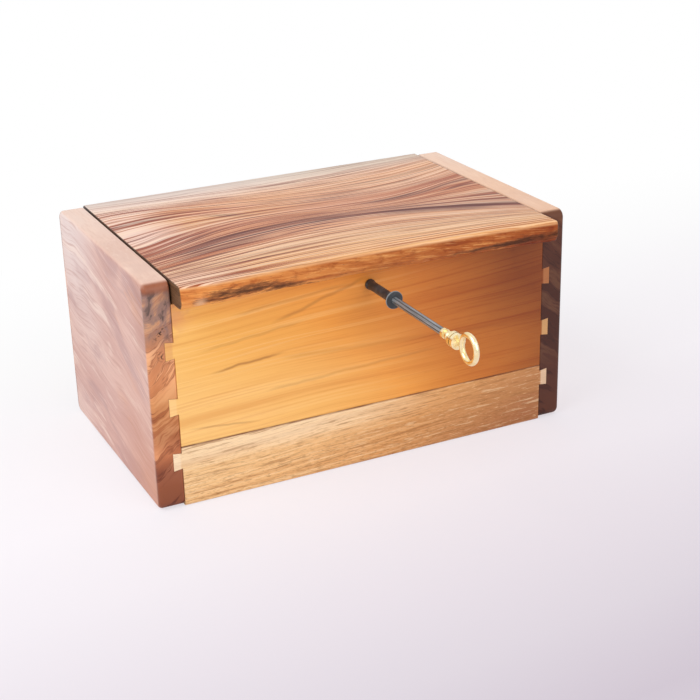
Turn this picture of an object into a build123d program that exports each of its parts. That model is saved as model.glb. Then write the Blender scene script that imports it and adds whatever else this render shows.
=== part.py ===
from build123d import *
import os
from math import atan2, cos, pi, radians, sin

# A wind-up music box: a small solid wood case with a lifting lid, a clockwork comb movement
# screwed inside its front, and a loose key that winds it through a black flanged barrel.
# Millimetres. +X to the right, +Y to the back, +Z up; the origin is the middle of the base.

os.makedirs("parts", exist_ok=True)

# ---- case ----
case_length = 254.0
case_depth = 151.0
case_height = 129.0
end_thickness = 14.5
board_thickness = 12.0
seam_height = 35.0  # glue line between each wall's two boards
edge_round = 2.4  # outer edges of the end panels
corner_round = 5.0  # corners of the end panels, seen from the side
inner_edge_round = 1.0
seam_bevel = 0.3
foot_round = 1.0
tail_length = 5.0  # tails lap this far over the end panels' edges
tail_root = 8.8
tail_tip = 10.2
tail_below_seam = 8.0
tail_above_seam = 23.9
tail_below_top = 25.4
tail_fit = 0.04
bottom_thickness = 6.0
rabbet = 6.0
bottom_fit = 0.2
lining_thickness = 1.5
lining_gap = 0.3

# ---- lid ----
lid_thickness = 12.5
lid_end_gap = 0.7
lid_rest_gap = 0.3
lid_stop_angle = 97.0
lid_overhangs = (16.0, 13.2, 11.6, 11.2, 12.0, 13.2, 14.6, 17.5)  # live edge, left to right
lid_edge_round = 2.2
hinge_pin_radius = 2.0
hinge_pin_in_panel = 9.5
hinge_pin_in_lid = 12.0
hinge_fit = 0.05

# ---- movement: where it sits ----
arbor_x = 1.4
arbor_below_lid = 9.9
running_fit = 0.05
seat_fit = 0.02
plate_gap = 0.3  # between faces that turn past each other
partition_thickness = 5.0
partition_below_wall = 16.2
partition_groove = 2.0
partition_distance = 28.0  # from the front wall's inner face
bedplate_thickness = 2.5
bedplate_right = 18.0
bedplate_left = 51.0
bedplate_up = 8.8
bedplate_down = 27.5
bedplate_corner = 3.0
blind_floor = 0.5  # left under the bedplate's blind holes
cut_over = 1.0  # how far a cut runs past what it cuts
sunk = 0.1  # how deep a tooth or thread starts inside its root

# ---- winding ----
arbor_radius = 1.5
arbor_seat = 8.5  # length of arbor inside the barrel
arbor_stand = 0.5  # out of the spring housing's top
arbor_bevel = 0.25
spring_core_radius = 2.4
barrel_reach = 29.0  # front wall to the face of the flange
barrel_radius = 2.6
barrel_inner_gap = 0.5
flange_radius = 5.0
flange_thickness = 1.2
collar_radius = 3.0
collar_length = 1.6
collar_bevel = 0.64
hex_across_flats = 3.5
hex_fit = 0.05
socket_depth = 31.5
ratchet_thickness = 1.0
ratchet_teeth = 24
ratchet_radius = 6.0
ratchet_tooth_depth = 0.8
click_angle = -60.0
click_arm = 10.0
click_lean = 15.0
click_boss_radius = 1.8
click_pin_radius = 0.8
click_half_width = 1.35
click_nose_rise = 1.1
click_flank_gap = 0.45
click_nose_turn = 1.6  # degrees from the tooth's face to the nose
click_nose_width = 2.9
click_coil_wire = 0.25  # radius of the wire
click_coil_pitch = 0.45
click_coil_turns = 3
click_coil_gap = 0.08
click_spring_leg = 3.2
click_stud_head = 0.6
click_stud_round = 0.25
click_stud_gap = 0.1

# ---- key ----
key_shank_length = 60.0
key_inserted = 6.0
key_tip_taper = 2.0
key_tip_radius = 1.1
shank_in_bow = 1.6
ferrule_radius = 2.6
bead_radius = 2.6
key_collar_radius = 4.1
key_groove_radius = 3.2  # between the collar's two rims
key_neck_radius = 1.8
ferrule_length = 2.0
ferrule_neck = 1.2
bead_length = 4.0
bead_neck = 1.4
collar_rim = 2.8
collar_groove = 0.6
collar_slope = 0.5
ring_neck = 2.8  # from the collar to the middle of the ring's wire
bow_wire_radius = 1.5
bow_ring_radius = 7.0  # to the middle of the wire

# ---- spring housing ----
housing_radius = 8.6
housing_wall = 0.6
housing_depth = 9.0
mainspring_strip = 0.3
mainspring_gap = 0.35

# ---- gears ----
gear_module = 0.4
crown_teeth = 36
crown_pitch_radius = 8.0
crown_tooth_width = 0.5
crown_tooth_height = 0.8
crown_face = 1.2
drive_pinion_teeth = 12
great_teeth = 32
governor_pinion_teeth = 8
worm_wheel_teeth = 24
worm_pitch_radius = 1.1
gear_face = 1.2
tooth_share = 0.30  # tooth width at the pitch circle, as a share of the tooth spacing
tooth_tip = 0.85  # over the pitch circle, in modules
tooth_root = 1.2  # under the pitch circle, in modules
gear_gap = 0.8  # cylinder to great gear
wheel_gap = 1.4  # great gear to worm wheel

# ---- cylinder and comb ----
cylinder_radius = 6.0
cylinder_wall = 0.6
cylinder_start = 12.0  # from the winding arbor, to the left
cylinder_length = 23.0
cylinder_arbor_radius = 1.0
note_count = 18
pins_per_note = 5
pin_radius = 0.2
pin_stand = 0.5
comb_gap = 0.25  # pins to comb tips
comb_thickness = 1.0
comb_root = 6.5
comb_bass_tooth = 11.5
comb_treble_tooth = 7.0
comb_slot = 0.3
comb_right_margin = 1.0
comb_left_margin = 1.4
comb_screw_shares = (0.17, 0.5, 0.83)
golden_angle = 137.5  # turn from note to note, so that the pins never line up
pin_wander = 29
pin_wander_limit = 40
bracket_thickness = 1.2
bracket_half_width = 3.2
bracket_foot = 5.2
bracket_gap = 1.2
bracket_margin = 3.0
bracket_side_gap = 0.5  # worm wheel to left bracket
housing_side_gap = 1.6  # spring housing to right bracket
arbor_end_stand = 0.4
left_screw_shift = 0.6

# ---- governor ----
frame_sheet = 1.0
frame_tab_sheet = 0.8
frame_lap = 1.0  # under the end of the cylinder
frame_wall_stand = 2.4  # past the cylinder's axis
frame_wall_drop = 4.0
tab_half_width = 2.0
tab_rise = 0.35
arm_gap = 0.6
arm_half_width = 1.7
arm_stand = 1.6  # past the worm's axis
screw_head_gap = 0.1
governor_arbor_radius = 0.6
pivot_radius = 0.4
pivot_shoulder = 0.1
worm_turns = 4
thread_stand = 0.35  # past the worm's pitch circle
thread_foot = 1.6  # thread width at its foot and crest, as shares of that at mid height
thread_crest = 0.7
fly_radius = 4.0
fly_length = 7.0
fly_sheet = 0.3
fly_hub_wall = 0.5
fly_blade_inset = 0.5
fly_blade_root = 0.3
fly_clearance = 0.7
fly_side_gap = 0.3
fly_to_arm = 2.2
lever_width = 2.0
lever_sheet = 1.0
lever_side_gap = 2.3
lever_pivot_drop = 2.0  # under the governor's axis
lever_boss_radius = 1.7
lever_post_radius = 1.0
lever_post_head = 1.8
lever_post_head_height = 0.8
lever_finger = 3.6
lever_drop = 8.0
lever_rise = 16.5
lever_tab = 5.0

# ---- screws ----
plate_screw_radius = 1.4
plate_screw_length = 9.0
plate_screw_head = 2.2
small_screw_radius = 0.9
small_screw_head = 1.6
small_screw_length = 5.0
screw_head_height = 1.3
slot_width = 0.5
bottom_screw_radius = 1.2
bottom_screw_head = 2.6
bottom_screw_length = 14.0
bottom_screw_recess = 0.2
bottom_screw_spacing = 75.0
bottom_screw_end_spacing = 84.0
screw_hole_spare = 1.0
plate_screw_inset = 3.5
plate_screw_drop = 2.8
low_head = 0.8  # height of the governor frame's screw heads, as a share of the others

# ---- places worked out from the sizes above ----
inner_x = case_length / 2 - end_thickness
outer_y = case_depth / 2
inner_y = outer_y - board_thickness
lid_underside = case_height - lid_thickness
wall_top = lid_underside - lid_rest_gap
tail_heights = (seam_height - tail_below_seam, seam_height + tail_above_seam, wall_top - tail_below_top)
pivot_lift = lid_thickness / 2
pivot_y = outer_y - pivot_lift
pivot_z = lid_underside + pivot_lift
lid_half = inner_x - lid_end_gap
pocket_x = inner_x + rabbet
pocket_y = inner_y + rabbet
partition_y = -inner_y + partition_distance
partition_height = wall_top - partition_below_wall
arbor_z = lid_underside - arbor_below_lid

ratchet_level = bedplate_thickness + plate_gap
housing_level = ratchet_level + ratchet_thickness + plate_gap
housing_top = housing_level + housing_depth
pinion_pitch_radius = crown_pitch_radius * drive_pinion_teeth / crown_teeth
axis_level = housing_top + crown_tooth_height / 2 + pinion_pitch_radius
great_pitch_radius = gear_module * great_teeth / 2
governor_pinion_radius = gear_module * governor_pinion_teeth / 2
worm_wheel_radius = gear_module * worm_wheel_teeth / 2
worm_pitch = pi * gear_module
governor_v = -(great_pitch_radius + governor_pinion_radius)
worm_level = axis_level - worm_wheel_radius - worm_pitch_radius
pin_circle = cylinder_radius + pin_stand
cylinder_end = cylinder_start + cylinder_length
great_gear_u = cylinder_end + gear_gap
comb_tip_v = -(pin_circle + comb_gap)
comb_heel_v = comb_tip_v - comb_bass_tooth - comb_root
comb_start = cylinder_start + comb_right_margin
comb_end = cylinder_end - comb_left_margin
comb_level = axis_level - comb_thickness / 2
note_pitch = (comb_end - comb_start) / note_count
worm_wheel_u = great_gear_u + gear_face + wheel_gap
worm_u = worm_wheel_u + gear_face / 2
left_bracket_u = worm_wheel_u + gear_face + bracket_side_gap
right_bracket_u = -(housing_radius + housing_side_gap)
frame_right = cylinder_end - frame_lap
frame_left = worm_u + fly_radius + fly_side_gap + frame_sheet
upper_arm_v = -(bracket_half_width + arm_gap)
fly_top_v = governor_v - gear_module - worm_wheel_radius - fly_clearance
fly_bottom_v = fly_top_v - fly_length
lower_arm_v = fly_bottom_v - fly_to_arm
lever_u = frame_left + lever_width / 2 + lever_side_gap
lever_v = governor_v - lever_pivot_drop
lever_level = worm_level - lever_sheet / 2


# ---- planes ----
def bed(level):
    """A plane parallel to the front wall, with u to the left of the winding arbor and v up."""
    origin = (arbor_x, -inner_y + level, arbor_z)
    return Plane(origin=origin, x_dir=(-1, 0, 0), z_dir=(0, 1, 0))


def across(u, level=axis_level, v=0.0):
    """A plane square to the cylinder, u to the left of the winding arbor, facing left."""
    origin = (arbor_x - u, -inner_y + level, arbor_z + v)
    return Plane(origin=origin, x_dir=(0, -1, 0), z_dir=(-1, 0, 0))


def upright(v, u=worm_u, level=worm_level):
    """A level plane of the governor at height v over the winding arbor, facing up."""
    origin = (arbor_x - u, -inner_y + level, arbor_z + v)
    return Plane(origin=origin, x_dir=(1, 0, 0), z_dir=(0, 0, 1))


def polar(radius, angle):
    return (radius * cos(radians(angle)), radius * sin(radians(angle)))


# ---- shapes used again and again; each adds to the piece being built ----
def disc(plane, radius, height, spots=((0, 0),), bore=0.0, mode=Mode.ADD):
    with BuildSketch(plane) as face:
        with Locations(*spots):
            Circle(radius)
            if bore:
                Circle(bore, mode=Mode.SUBTRACT)
    extrude(face.sketch, amount=height, mode=mode)


def block(plane, u_range, v_range, height, mode=Mode.ADD):
    with BuildSketch(plane) as face:
        with Locations(((u_range[0] + u_range[1]) / 2, (v_range[0] + v_range[1]) / 2)):
            Rectangle(abs(u_range[1] - u_range[0]), abs(v_range[1] - v_range[0]))
    extrude(face.sketch, amount=height, mode=mode)


def gear(plane, teeth, module, face_width, bore, phase=0.0):
    pitch_radius = teeth * module / 2
    width = pi * module * tooth_share
    tip, root = pitch_radius + tooth_tip * module, pitch_radius - tooth_root * module
    flank = ((root - sunk, width), (pitch_radius, width / 2), (tip, width / 4))
    outline = [*flank, *[(x, -y) for x, y in reversed(flank)]]
    with BuildSketch(plane) as face:
        Circle(root)
        with PolarLocations(0, teeth, start_angle=phase):
            Polygon(*outline, align=None)
        if bore:
            Circle(bore, mode=Mode.SUBTRACT)
    extrude(face.sketch, amount=face_width)


def slotted_heads(level_plane, spots, head_radius, head_height):
    disc(level_plane, head_radius, head_height, spots)
    with BuildSketch(level_plane.offset(head_height)) as slots:
        with Locations(*spots):
            Rectangle(2 * (head_radius + cut_over), slot_width)
    extrude(slots.sketch, amount=-head_height / 2, mode=Mode.SUBTRACT)


def turned(profile):
    """A solid of revolution about the winding axis, from (level, radius) points."""
    axis_plane = Plane(origin=(arbor_x, -inner_y, arbor_z), x_dir=(0, 1, 0), z_dir=(1, 0, 0))
    with BuildSketch(axis_plane) as half:
        Polygon((profile[0][0], 0), *profile, (profile[-1][0], 0), align=None)
    revolve(half.sketch, axis=Axis(axis_plane.origin, (0, 1, 0)))


def tails(side, heights, growth=0.0):
    """Flared tails on one end of a wall's sketch, or their sockets when growth is given."""
    root, tip = tail_root / 2 + growth, tail_tip / 2 + growth
    reach = inner_x + tail_length + growth
    inside = inner_x - cut_over
    for height in heights:
        points = ((inside, root), (inner_x, root), (reach, tip))
        outline = [*points, *[(x, -y) for x, y in reversed(points)]]
        Polygon(*[(side * x, height + y) for x, y in outline], align=None)


def finish(piece, name):
    piece.part.label = name
    export_step(piece.part, f"parts/{name}.step")


# ---- end panels: they run the full height, and the lid turns between them ----
for side, name in ((-1, "left_end_panel"), (1, "right_end_panel")):
    with BuildPart() as panel:
        with BuildSketch(Plane.YZ.offset(side * inner_x)) as outline:
            with Locations((0, case_height / 2)):
                Rectangle(case_depth, case_height)
            fillet(outline.vertices(), corner_round)
        extrude(amount=side * end_thickness)
        faces = panel.faces().filter_by(Axis.X).sort_by(Axis.X)
        fillet(faces[-1 if side > 0 else 0].edges(), edge_round)
        inner_face = panel.faces().filter_by(Axis.X).sort_by(Axis.X)[0 if side > 0 else -1]
        fillet(inner_face.edges().sort_by(Axis.Z)[-1], inner_edge_round)
        for facing in (-1, 1):
            with BuildSketch(Plane.XZ.offset(-facing * outer_y)) as sockets:
                tails(side, tail_heights, tail_fit)
            extrude(sockets.sketch, amount=facing * (board_thickness + tail_fit), mode=Mode.SUBTRACT)
        Box(2 * pocket_x, 2 * pocket_y, 2 * bottom_thickness, mode=Mode.SUBTRACT)
        with Locations((side * inner_x, partition_y + partition_thickness / 2, partition_height / 2)):
            groove_width = partition_thickness + 2 * tail_fit
            Box(2 * partition_groove, groove_width, partition_height + 2 * tail_fit, mode=Mode.SUBTRACT)
        with BuildSketch(Plane.YZ.offset(side * inner_x)) as pin_hole:
            with Locations((pivot_y, pivot_z)):
                Circle(hinge_pin_radius + seat_fit)
        extrude(pin_hole.sketch, amount=side * (hinge_pin_in_panel + seat_fit), mode=Mode.SUBTRACT)
        end_rows = [(side * (inner_x + rabbet / 2), y) for y in (-1, 1)]
        screw_spots = [(x, y * bottom_screw_end_spacing / 2) for x, y in end_rows]
        hole_depth = bottom_screw_length + screw_hole_spare
        disc(Plane.XY, bottom_screw_radius + seat_fit, hole_depth, screw_spots, mode=Mode.SUBTRACT)
    finish(panel, name)

# ---- front and back walls: two boards edge to edge, with tails into the end panels ----
plate_screw_spots = [
    (u, v)
    for u in (plate_screw_inset - bedplate_right, bedplate_left - plate_screw_inset)
    for v in (bedplate_up - plate_screw_drop, plate_screw_inset - bedplate_down)
]
wall_screw_columns = (-bottom_screw_spacing, 0, bottom_screw_spacing)
for facing, wall in ((-1, "front"), (1, "back")):
    tiers = (("lower", 0, seam_height, tail_heights[:1]), ("upper", seam_height, wall_top, tail_heights[1:]))
    for tier, low, high, heights in tiers:
        with BuildPart() as board:
            with BuildSketch(Plane.XZ.offset(-facing * outer_y)):
                with Locations((0, (low + high) / 2)):
                    Rectangle(2 * inner_x, high - low)
                for side in (-1, 1):
                    tails(side, heights)
            extrude(amount=facing * board_thickness)
            long_edges = board.edges().filter_by(Axis.X).group_by(Axis.Y)[0 if facing < 0 else -1]
            if tier == "lower":
                fillet(long_edges.sort_by(Axis.Z)[0], foot_round)
                Box(2 * (inner_x + cut_over), 2 * pocket_y, 2 * bottom_thickness, mode=Mode.SUBTRACT)
                screw_spots = [(x, facing * (inner_y + rabbet / 2)) for x in wall_screw_columns]
                hole_depth = bottom_screw_length + screw_hole_spare
                hole_radius = bottom_screw_radius + seat_fit
                disc(Plane.XY, hole_radius, hole_depth, screw_spots, mode=Mode.SUBTRACT)
            seam = [e for e in long_edges if abs(e.center().Z - seam_height) < seam_bevel]
            chamfer(seam, seam_bevel)
            if tier == "upper" and wall == "front":
                disc(bed(0), barrel_radius + running_fit, -board_thickness, mode=Mode.SUBTRACT)
                hole_radius = plate_screw_radius + seat_fit
                hole_depth = plate_screw_length + seat_fit
                disc(bed(0), hole_radius, -hole_depth, plate_screw_spots, mode=Mode.SUBTRACT)
        finish(board, f"{wall}_{tier}_board")

# ---- bottom panel, its screws and the felt that lines the storage side ----
bottom_spots = [(x, y * (inner_y + rabbet / 2)) for x in wall_screw_columns for y in (-1, 1)]
bottom_spots += [
    (x * (inner_x + rabbet / 2), y * bottom_screw_end_spacing / 2) for x in (-1, 1) for y in (-1, 1)
]
head_depth = bottom_screw_head - bottom_screw_radius
with BuildPart() as bottom_panel:
    Box(
        2 * (pocket_x - bottom_fit),
        2 * (pocket_y - bottom_fit),
        bottom_thickness,
        align=(Align.CENTER, Align.CENTER, Align.MIN),
    )
    with Locations(*[(x, y, 0) for x, y in bottom_spots]):
        Cylinder(
            bottom_screw_radius + seat_fit,
            bottom_thickness,
            align=(Align.CENTER, Align.CENTER, Align.MIN),
            mode=Mode.SUBTRACT,
        )
        Cone(
            bottom_screw_head + bottom_screw_recess,
            bottom_screw_radius + seat_fit,
            head_depth + 2 * bottom_screw_recess,
            align=(Align.CENTER, Align.CENTER, Align.MIN),
            mode=Mode.SUBTRACT,
        )
finish(bottom_panel, "bottom_panel")

with BuildPart() as bottom_screws:
    disc(Plane.XY.offset(bottom_screw_recess), bottom_screw_radius, bottom_screw_length, bottom_spots)
    with Locations(*[(x, y, bottom_screw_recess) for x, y in bottom_spots]):
        Cone(
            bottom_screw_head,
            bottom_screw_radius,
            head_depth,
            align=(Align.CENTER, Align.CENTER, Align.MIN),
        )
    with BuildSketch(Plane.XY) as slots:
        with Locations(*bottom_spots):
            Rectangle(2 * (bottom_screw_head + cut_over), slot_width)
    extrude(slots.sketch, amount=bottom_screw_recess + head_depth / 2, mode=Mode.SUBTRACT)
finish(bottom_screws, "bottom_screws")

storage_front = partition_y + partition_thickness
with BuildPart() as storage_lining:
    with BuildSketch(Plane.XY.offset(bottom_thickness)):
        with Locations((0, (storage_front + inner_y) / 2)):
            Rectangle(2 * (inner_x - lining_gap), inner_y - storage_front - 2 * lining_gap)
    extrude(amount=lining_thickness)
finish(storage_lining, "storage_lining")

with BuildPart() as movement_partition:
    with BuildSketch(Plane.XY.offset(bottom_thickness)):
        with Locations((0, partition_y + partition_thickness / 2)):
            Rectangle(2 * (inner_x + partition_groove - tail_fit), partition_thickness)
    extrude(amount=partition_height - bottom_thickness)
    top_edges = movement_partition.edges().filter_by(Axis.X).group_by(Axis.Z)[-1]
    fillet(top_edges, inner_edge_round)
finish(movement_partition, "movement_partition")

# ---- lid: a live-edge plank whose rear edge is rounded about its pins ----
# Its bevelled rear face comes down flat over the back wall at the stop angle.
rear_angle = lid_stop_angle - 90
bevel_y = pivot_lift * cos(radians(rear_angle))
bevel_z = pivot_lift * sin(radians(rear_angle))
top_back_y = (pivot_lift - pivot_lift * sin(radians(rear_angle))) / cos(radians(rear_angle))
lid_front = outer_y + max(lid_overhangs) + cut_over
step = 2 * lid_half / (len(lid_overhangs) - 1)
live_edge = [(-lid_half + i * step, -outer_y - out) for i, out in enumerate(lid_overhangs)]
with BuildPart() as lid:
    with BuildSketch(Plane.YZ.offset(-lid_half)):
        with BuildLine():
            round_start = (pivot_y, lid_underside)
            round_end = (pivot_y + bevel_y, pivot_z + bevel_z)
            middle = radians((rear_angle - 90) / 2)
            round_middle = (pivot_y + pivot_lift * cos(middle), pivot_z + pivot_lift * sin(middle))
            ThreePointArc(round_start, round_middle, round_end)
            Polyline(
                round_end,
                (pivot_y + top_back_y, case_height),
                (-lid_front, case_height),
                (-lid_front, lid_underside),
                round_start,
            )
        make_face()
    extrude(amount=2 * lid_half)
    with BuildSketch(Plane.XY.offset(lid_underside)):
        with BuildLine():
            Spline(*live_edge)
            corner = (lid_half, outer_y)
            Polyline(live_edge[-1], corner, (-lid_half, outer_y), live_edge[0])
        make_face()
    extrude(amount=lid_thickness, mode=Mode.INTERSECT)
    front_edges = lid.edges().filter_by(GeomType.BSPLINE)
    fillet(front_edges, lid_edge_round)
    for side in (-1, 1):
        with BuildSketch(Plane.YZ.offset(side * lid_half)) as pin_hole:
            with Locations((pivot_y, pivot_z)):
                Circle(hinge_pin_radius + hinge_fit)
        extrude(pin_hole.sketch, amount=-side * (hinge_pin_in_lid + hinge_fit), mode=Mode.SUBTRACT)
finish(lid, "lid")

with BuildPart() as lid_hinge_pins:
    for side in (-1, 1):
        with BuildSketch(Plane.YZ.offset(side * (lid_half - hinge_pin_in_lid))) as pin_end:
            with Locations((pivot_y, pivot_z)):
                Circle(hinge_pin_radius)
        pin_length = hinge_pin_in_lid + lid_end_gap + hinge_pin_in_panel
        extrude(pin_end.sketch, amount=side * pin_length)
finish(lid_hinge_pins, "lid_hinge_pins")

# ---- winding barrel: a black flanged tube with a hexagon socket for the key ----
flange_level = -(board_thickness + barrel_reach)
arbor_start = -barrel_inner_gap - arbor_seat
collar_level = -board_thickness - plate_gap
rim = flange_thickness / 3
barrel_profile = (
    (flange_level, flange_radius - rim),
    (flange_level + rim, flange_radius),
    (flange_level + 2 * rim, flange_radius),
    (flange_level + flange_thickness, flange_radius - rim),
    (flange_level + flange_thickness, barrel_radius),
    (collar_level - collar_length, barrel_radius),
    (collar_level - collar_length + collar_bevel, collar_radius),
    (collar_level, collar_radius),
    (collar_level, barrel_radius),
    (-barrel_inner_gap, barrel_radius),
)
with BuildPart() as winding_barrel:
    turned(barrel_profile)
    with BuildSketch(bed(flange_level)) as socket:
        RegularPolygon(hex_across_flats / 2 + hex_fit, 6, major_radius=False)
    extrude(socket.sketch, amount=socket_depth, mode=Mode.SUBTRACT)
    seat_length = arbor_seat + cut_over
    disc(bed(arbor_start - seat_fit), arbor_radius + seat_fit, seat_length, mode=Mode.SUBTRACT)
finish(winding_barrel, "winding_barrel")

arbor_end = housing_top + arbor_stand
spring_level = housing_level + 2 * housing_wall
spring_width = housing_depth - 4 * housing_wall
with BuildPart() as winding_arbor:
    disc(bed(arbor_start), arbor_radius, arbor_end - arbor_start)
    disc(bed(spring_level), spring_core_radius, spring_width)
    chamfer(winding_arbor.edges().filter_by(GeomType.CIRCLE).sort_by(Axis.Y)[-1], arbor_bevel)
finish(winding_arbor, "winding_arbor")

tooth_turn = 360 / ratchet_teeth
with BuildPart() as ratchet_wheel:
    with BuildSketch(bed(ratchet_level)):
        teeth = []
        for index in range(ratchet_teeth):
            angle = click_angle + index * tooth_turn
            teeth += [polar(ratchet_radius - ratchet_tooth_depth, angle), polar(ratchet_radius, angle)]
        Polygon(*teeth, align=None)
        Circle(arbor_radius + seat_fit, mode=Mode.SUBTRACT)
    extrude(amount=ratchet_thickness)
finish(ratchet_wheel, "ratchet_wheel")

# ---- click: a pawl on its own stud that lets the ratchet turn one way ----
nose_radius = ratchet_radius - ratchet_tooth_depth / 2
nose = polar(nose_radius, click_angle)
arm_angle = radians(click_angle - 90 + click_lean)
click_u = nose[0] + click_arm * cos(arm_angle)
click_v = nose[1] + click_arm * sin(arm_angle)
click_spot = [(click_u, click_v)]
toward = atan2(nose[1] - click_v, nose[0] - click_u)
with BuildPart() as click:
    side_u, side_v = -sin(toward) * click_half_width, cos(toward) * click_half_width
    with BuildSketch(bed(ratchet_level)):
        Polygon(
            polar(ratchet_radius + click_nose_rise, click_angle - click_nose_turn),
            polar(nose_radius, click_angle - click_nose_turn),
            polar(nose_radius, click_angle - click_nose_turn - click_nose_width),
            polar(ratchet_radius + click_flank_gap, click_angle - tooth_turn + click_nose_turn),
            (click_u + side_u, click_v + side_v),
            (click_u - side_u, click_v - side_v),
            align=None,
        )
        with Locations(*click_spot):
            Circle(click_boss_radius)
            Circle(click_pin_radius + running_fit, mode=Mode.SUBTRACT)
    extrude(amount=ratchet_thickness)
finish(click, "click")

click_top = ratchet_level + ratchet_thickness
coil_top = click_top + 2 * click_coil_wire + (click_coil_turns - 1) * click_coil_pitch
coil_radius = click_pin_radius + click_coil_gap + click_coil_wire
with BuildPart() as click_spring:
    for turn in range(click_coil_turns):
        wire_level = click_top + click_coil_wire + turn * click_coil_pitch
        with Locations(bed(wire_level).location * Pos(click_u, click_v, 0)):
            Torus(coil_radius, click_coil_wire)
    leg_out = coil_radius + sunk
    leg_start = (click_u - leg_out * sin(toward), click_v + leg_out * cos(toward))
    leg_plane = bed(click_top + click_coil_wire)
    leg_origin = leg_plane.from_local_coords((*leg_start, 0))
    leg_way = leg_plane.from_local_coords((leg_start[0] + cos(toward), leg_start[1] + sin(toward), 0))
    with BuildSketch(Plane(origin=leg_origin, z_dir=leg_way - leg_origin)) as leg:
        Circle(click_coil_wire)
    extrude(leg.sketch, amount=click_spring_leg)
finish(click_spring, "click_spring")

with BuildPart() as click_stud:
    stud_top = coil_top + click_stud_gap
    disc(bed(blind_floor), click_pin_radius, stud_top - blind_floor, click_spot)
    disc(bed(stud_top), click_boss_radius, click_stud_head, click_spot)
    fillet(click_stud.edges().filter_by(GeomType.CIRCLE).sort_by(Axis.Y)[-1], click_stud_round)
finish(click_stud, "click_stud")

# ---- key: a hexagon steel shank pressed into a turned brass bow ----
key_tip_level = flange_level + key_inserted
shank_end_level = key_tip_level - key_shank_length
with BuildPart() as key_shank:
    with BuildSketch(bed(key_tip_level - key_tip_taper)):
        RegularPolygon(hex_across_flats / 2, 6, major_radius=False)
    extrude(amount=key_tip_taper - key_shank_length)
    with BuildSketch(bed(key_tip_level - key_tip_taper)):
        RegularPolygon(hex_across_flats / 2, 6, major_radius=False)
    with BuildSketch(bed(key_tip_level)):
        RegularPolygon(key_tip_radius, 6, major_radius=False)
    loft()
finish(key_shank, "key_shank")

bow_level = shank_end_level + shank_in_bow
bead_start = ferrule_length + ferrule_neck
bead_end = bead_start + bead_length
rims = [bead_end + bead_neck + i * (collar_rim + collar_groove) for i in (0, 1)]
collar_end = rims[1] + collar_rim
wire_distance = collar_end + ring_neck
ring_level = bow_level - wire_distance - bow_ring_radius
with BuildPart() as key_bow:
    # distances run outwards from the end that holds the shank
    bow_axis = Plane(origin=(arbor_x, -inner_y + bow_level, arbor_z), x_dir=(0, -1, 0), z_dir=(-1, 0, 0))
    with BuildSketch(bow_axis) as half:
        with BuildLine():
            Polyline(
                (wire_distance, 0),
                (0, 0),
                (0, ferrule_radius),
                (ferrule_length, ferrule_radius),
                (ferrule_length, key_neck_radius),
                (bead_start, key_neck_radius),
            )
            bead_top = ((bead_start + bead_end) / 2, bead_radius)
            ThreePointArc((bead_start, key_neck_radius), bead_top, (bead_end, key_neck_radius))
            Polyline(
                (bead_end, key_neck_radius),
                (rims[0], key_neck_radius),
                (rims[0] + collar_slope, key_collar_radius),
                (rims[0] + collar_rim, key_collar_radius),
                (rims[0] + collar_rim, key_groove_radius),
                (rims[1], key_groove_radius),
                (rims[1], key_collar_radius),
                (collar_end - collar_slope, key_collar_radius),
                (collar_end, key_neck_radius),
                (wire_distance, key_neck_radius),
                (wire_distance, 0),
            )
        make_face()
    revolve(half.sketch, axis=Axis(bow_axis.origin, (0, 1, 0)))
    wire_plane = Plane(origin=(arbor_x, -inner_y + ring_level, arbor_z), x_dir=(0, 1, 0))
    with BuildSketch(wire_plane) as wire:
        with Locations((bow_ring_radius, 0)):
            Circle(bow_wire_radius)
    revolve(wire.sketch, axis=Axis(wire_plane.origin, (1, 0, 0)))
    with BuildSketch(bed(bow_level)) as shank_hole:
        RegularPolygon(hex_across_flats / 2 + seat_fit, 6, major_radius=False)
    extrude(shank_hole.sketch, amount=-shank_in_bow - seat_fit, mode=Mode.SUBTRACT)
finish(key_bow, "key_bow")

# ---- movement bedplate and the screws that hold it to the front wall ----
comb_screw_spots = [
    (comb_start + share * (comb_end - comb_start), comb_heel_v + comb_root / 2)
    for share in comb_screw_shares
]
bracket_spots = [
    (right_bracket_u - bracket_thickness - bracket_foot / 2, 0),
    (left_bracket_u + bracket_thickness + bracket_foot / 2 - left_screw_shift, 0),
]
screw_room = small_screw_head + screw_head_gap
frame_screw_spots = [
    (frame_right + screw_room, lower_arm_v + screw_room),
    (frame_left - screw_room, lower_arm_v + screw_room),
    (frame_right + screw_room, upper_arm_v - screw_room),
]
lever_spot = [(lever_u, lever_v)]
with BuildPart() as bedplate:
    with BuildSketch(bed(0)) as plate:
        middle_u = (bedplate_left - bedplate_right) / 2
        middle_v = (bedplate_up - bedplate_down) / 2
        with Locations((middle_u, middle_v)):
            Rectangle(bedplate_left + bedplate_right, bedplate_up + bedplate_down)
        fillet(plate.vertices(), bedplate_corner)
        Circle(arbor_radius + running_fit, mode=Mode.SUBTRACT)
        with Locations(*plate_screw_spots):
            Circle(plate_screw_radius + seat_fit, mode=Mode.SUBTRACT)
    extrude(amount=bedplate_thickness)
    pocket = bed(blind_floor - seat_fit)
    disc(pocket, click_pin_radius + seat_fit, bedplate_thickness, click_spot, mode=Mode.SUBTRACT)
    disc(pocket, lever_post_radius + seat_fit, bedplate_thickness, lever_spot, mode=Mode.SUBTRACT)
    small_holes = bracket_spots + frame_screw_spots
    disc(pocket, small_screw_radius + seat_fit, bedplate_thickness, small_holes, mode=Mode.SUBTRACT)
finish(bedplate, "bedplate")

with BuildPart() as bedplate_screws:
    slotted_heads(bed(bedplate_thickness), plate_screw_spots, plate_screw_head, screw_head_height)
    shank_length = plate_screw_length + bedplate_thickness
    disc(bed(bedplate_thickness), plate_screw_radius, -shank_length, plate_screw_spots)
finish(bedplate_screws, "bedplate_screws")

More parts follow.
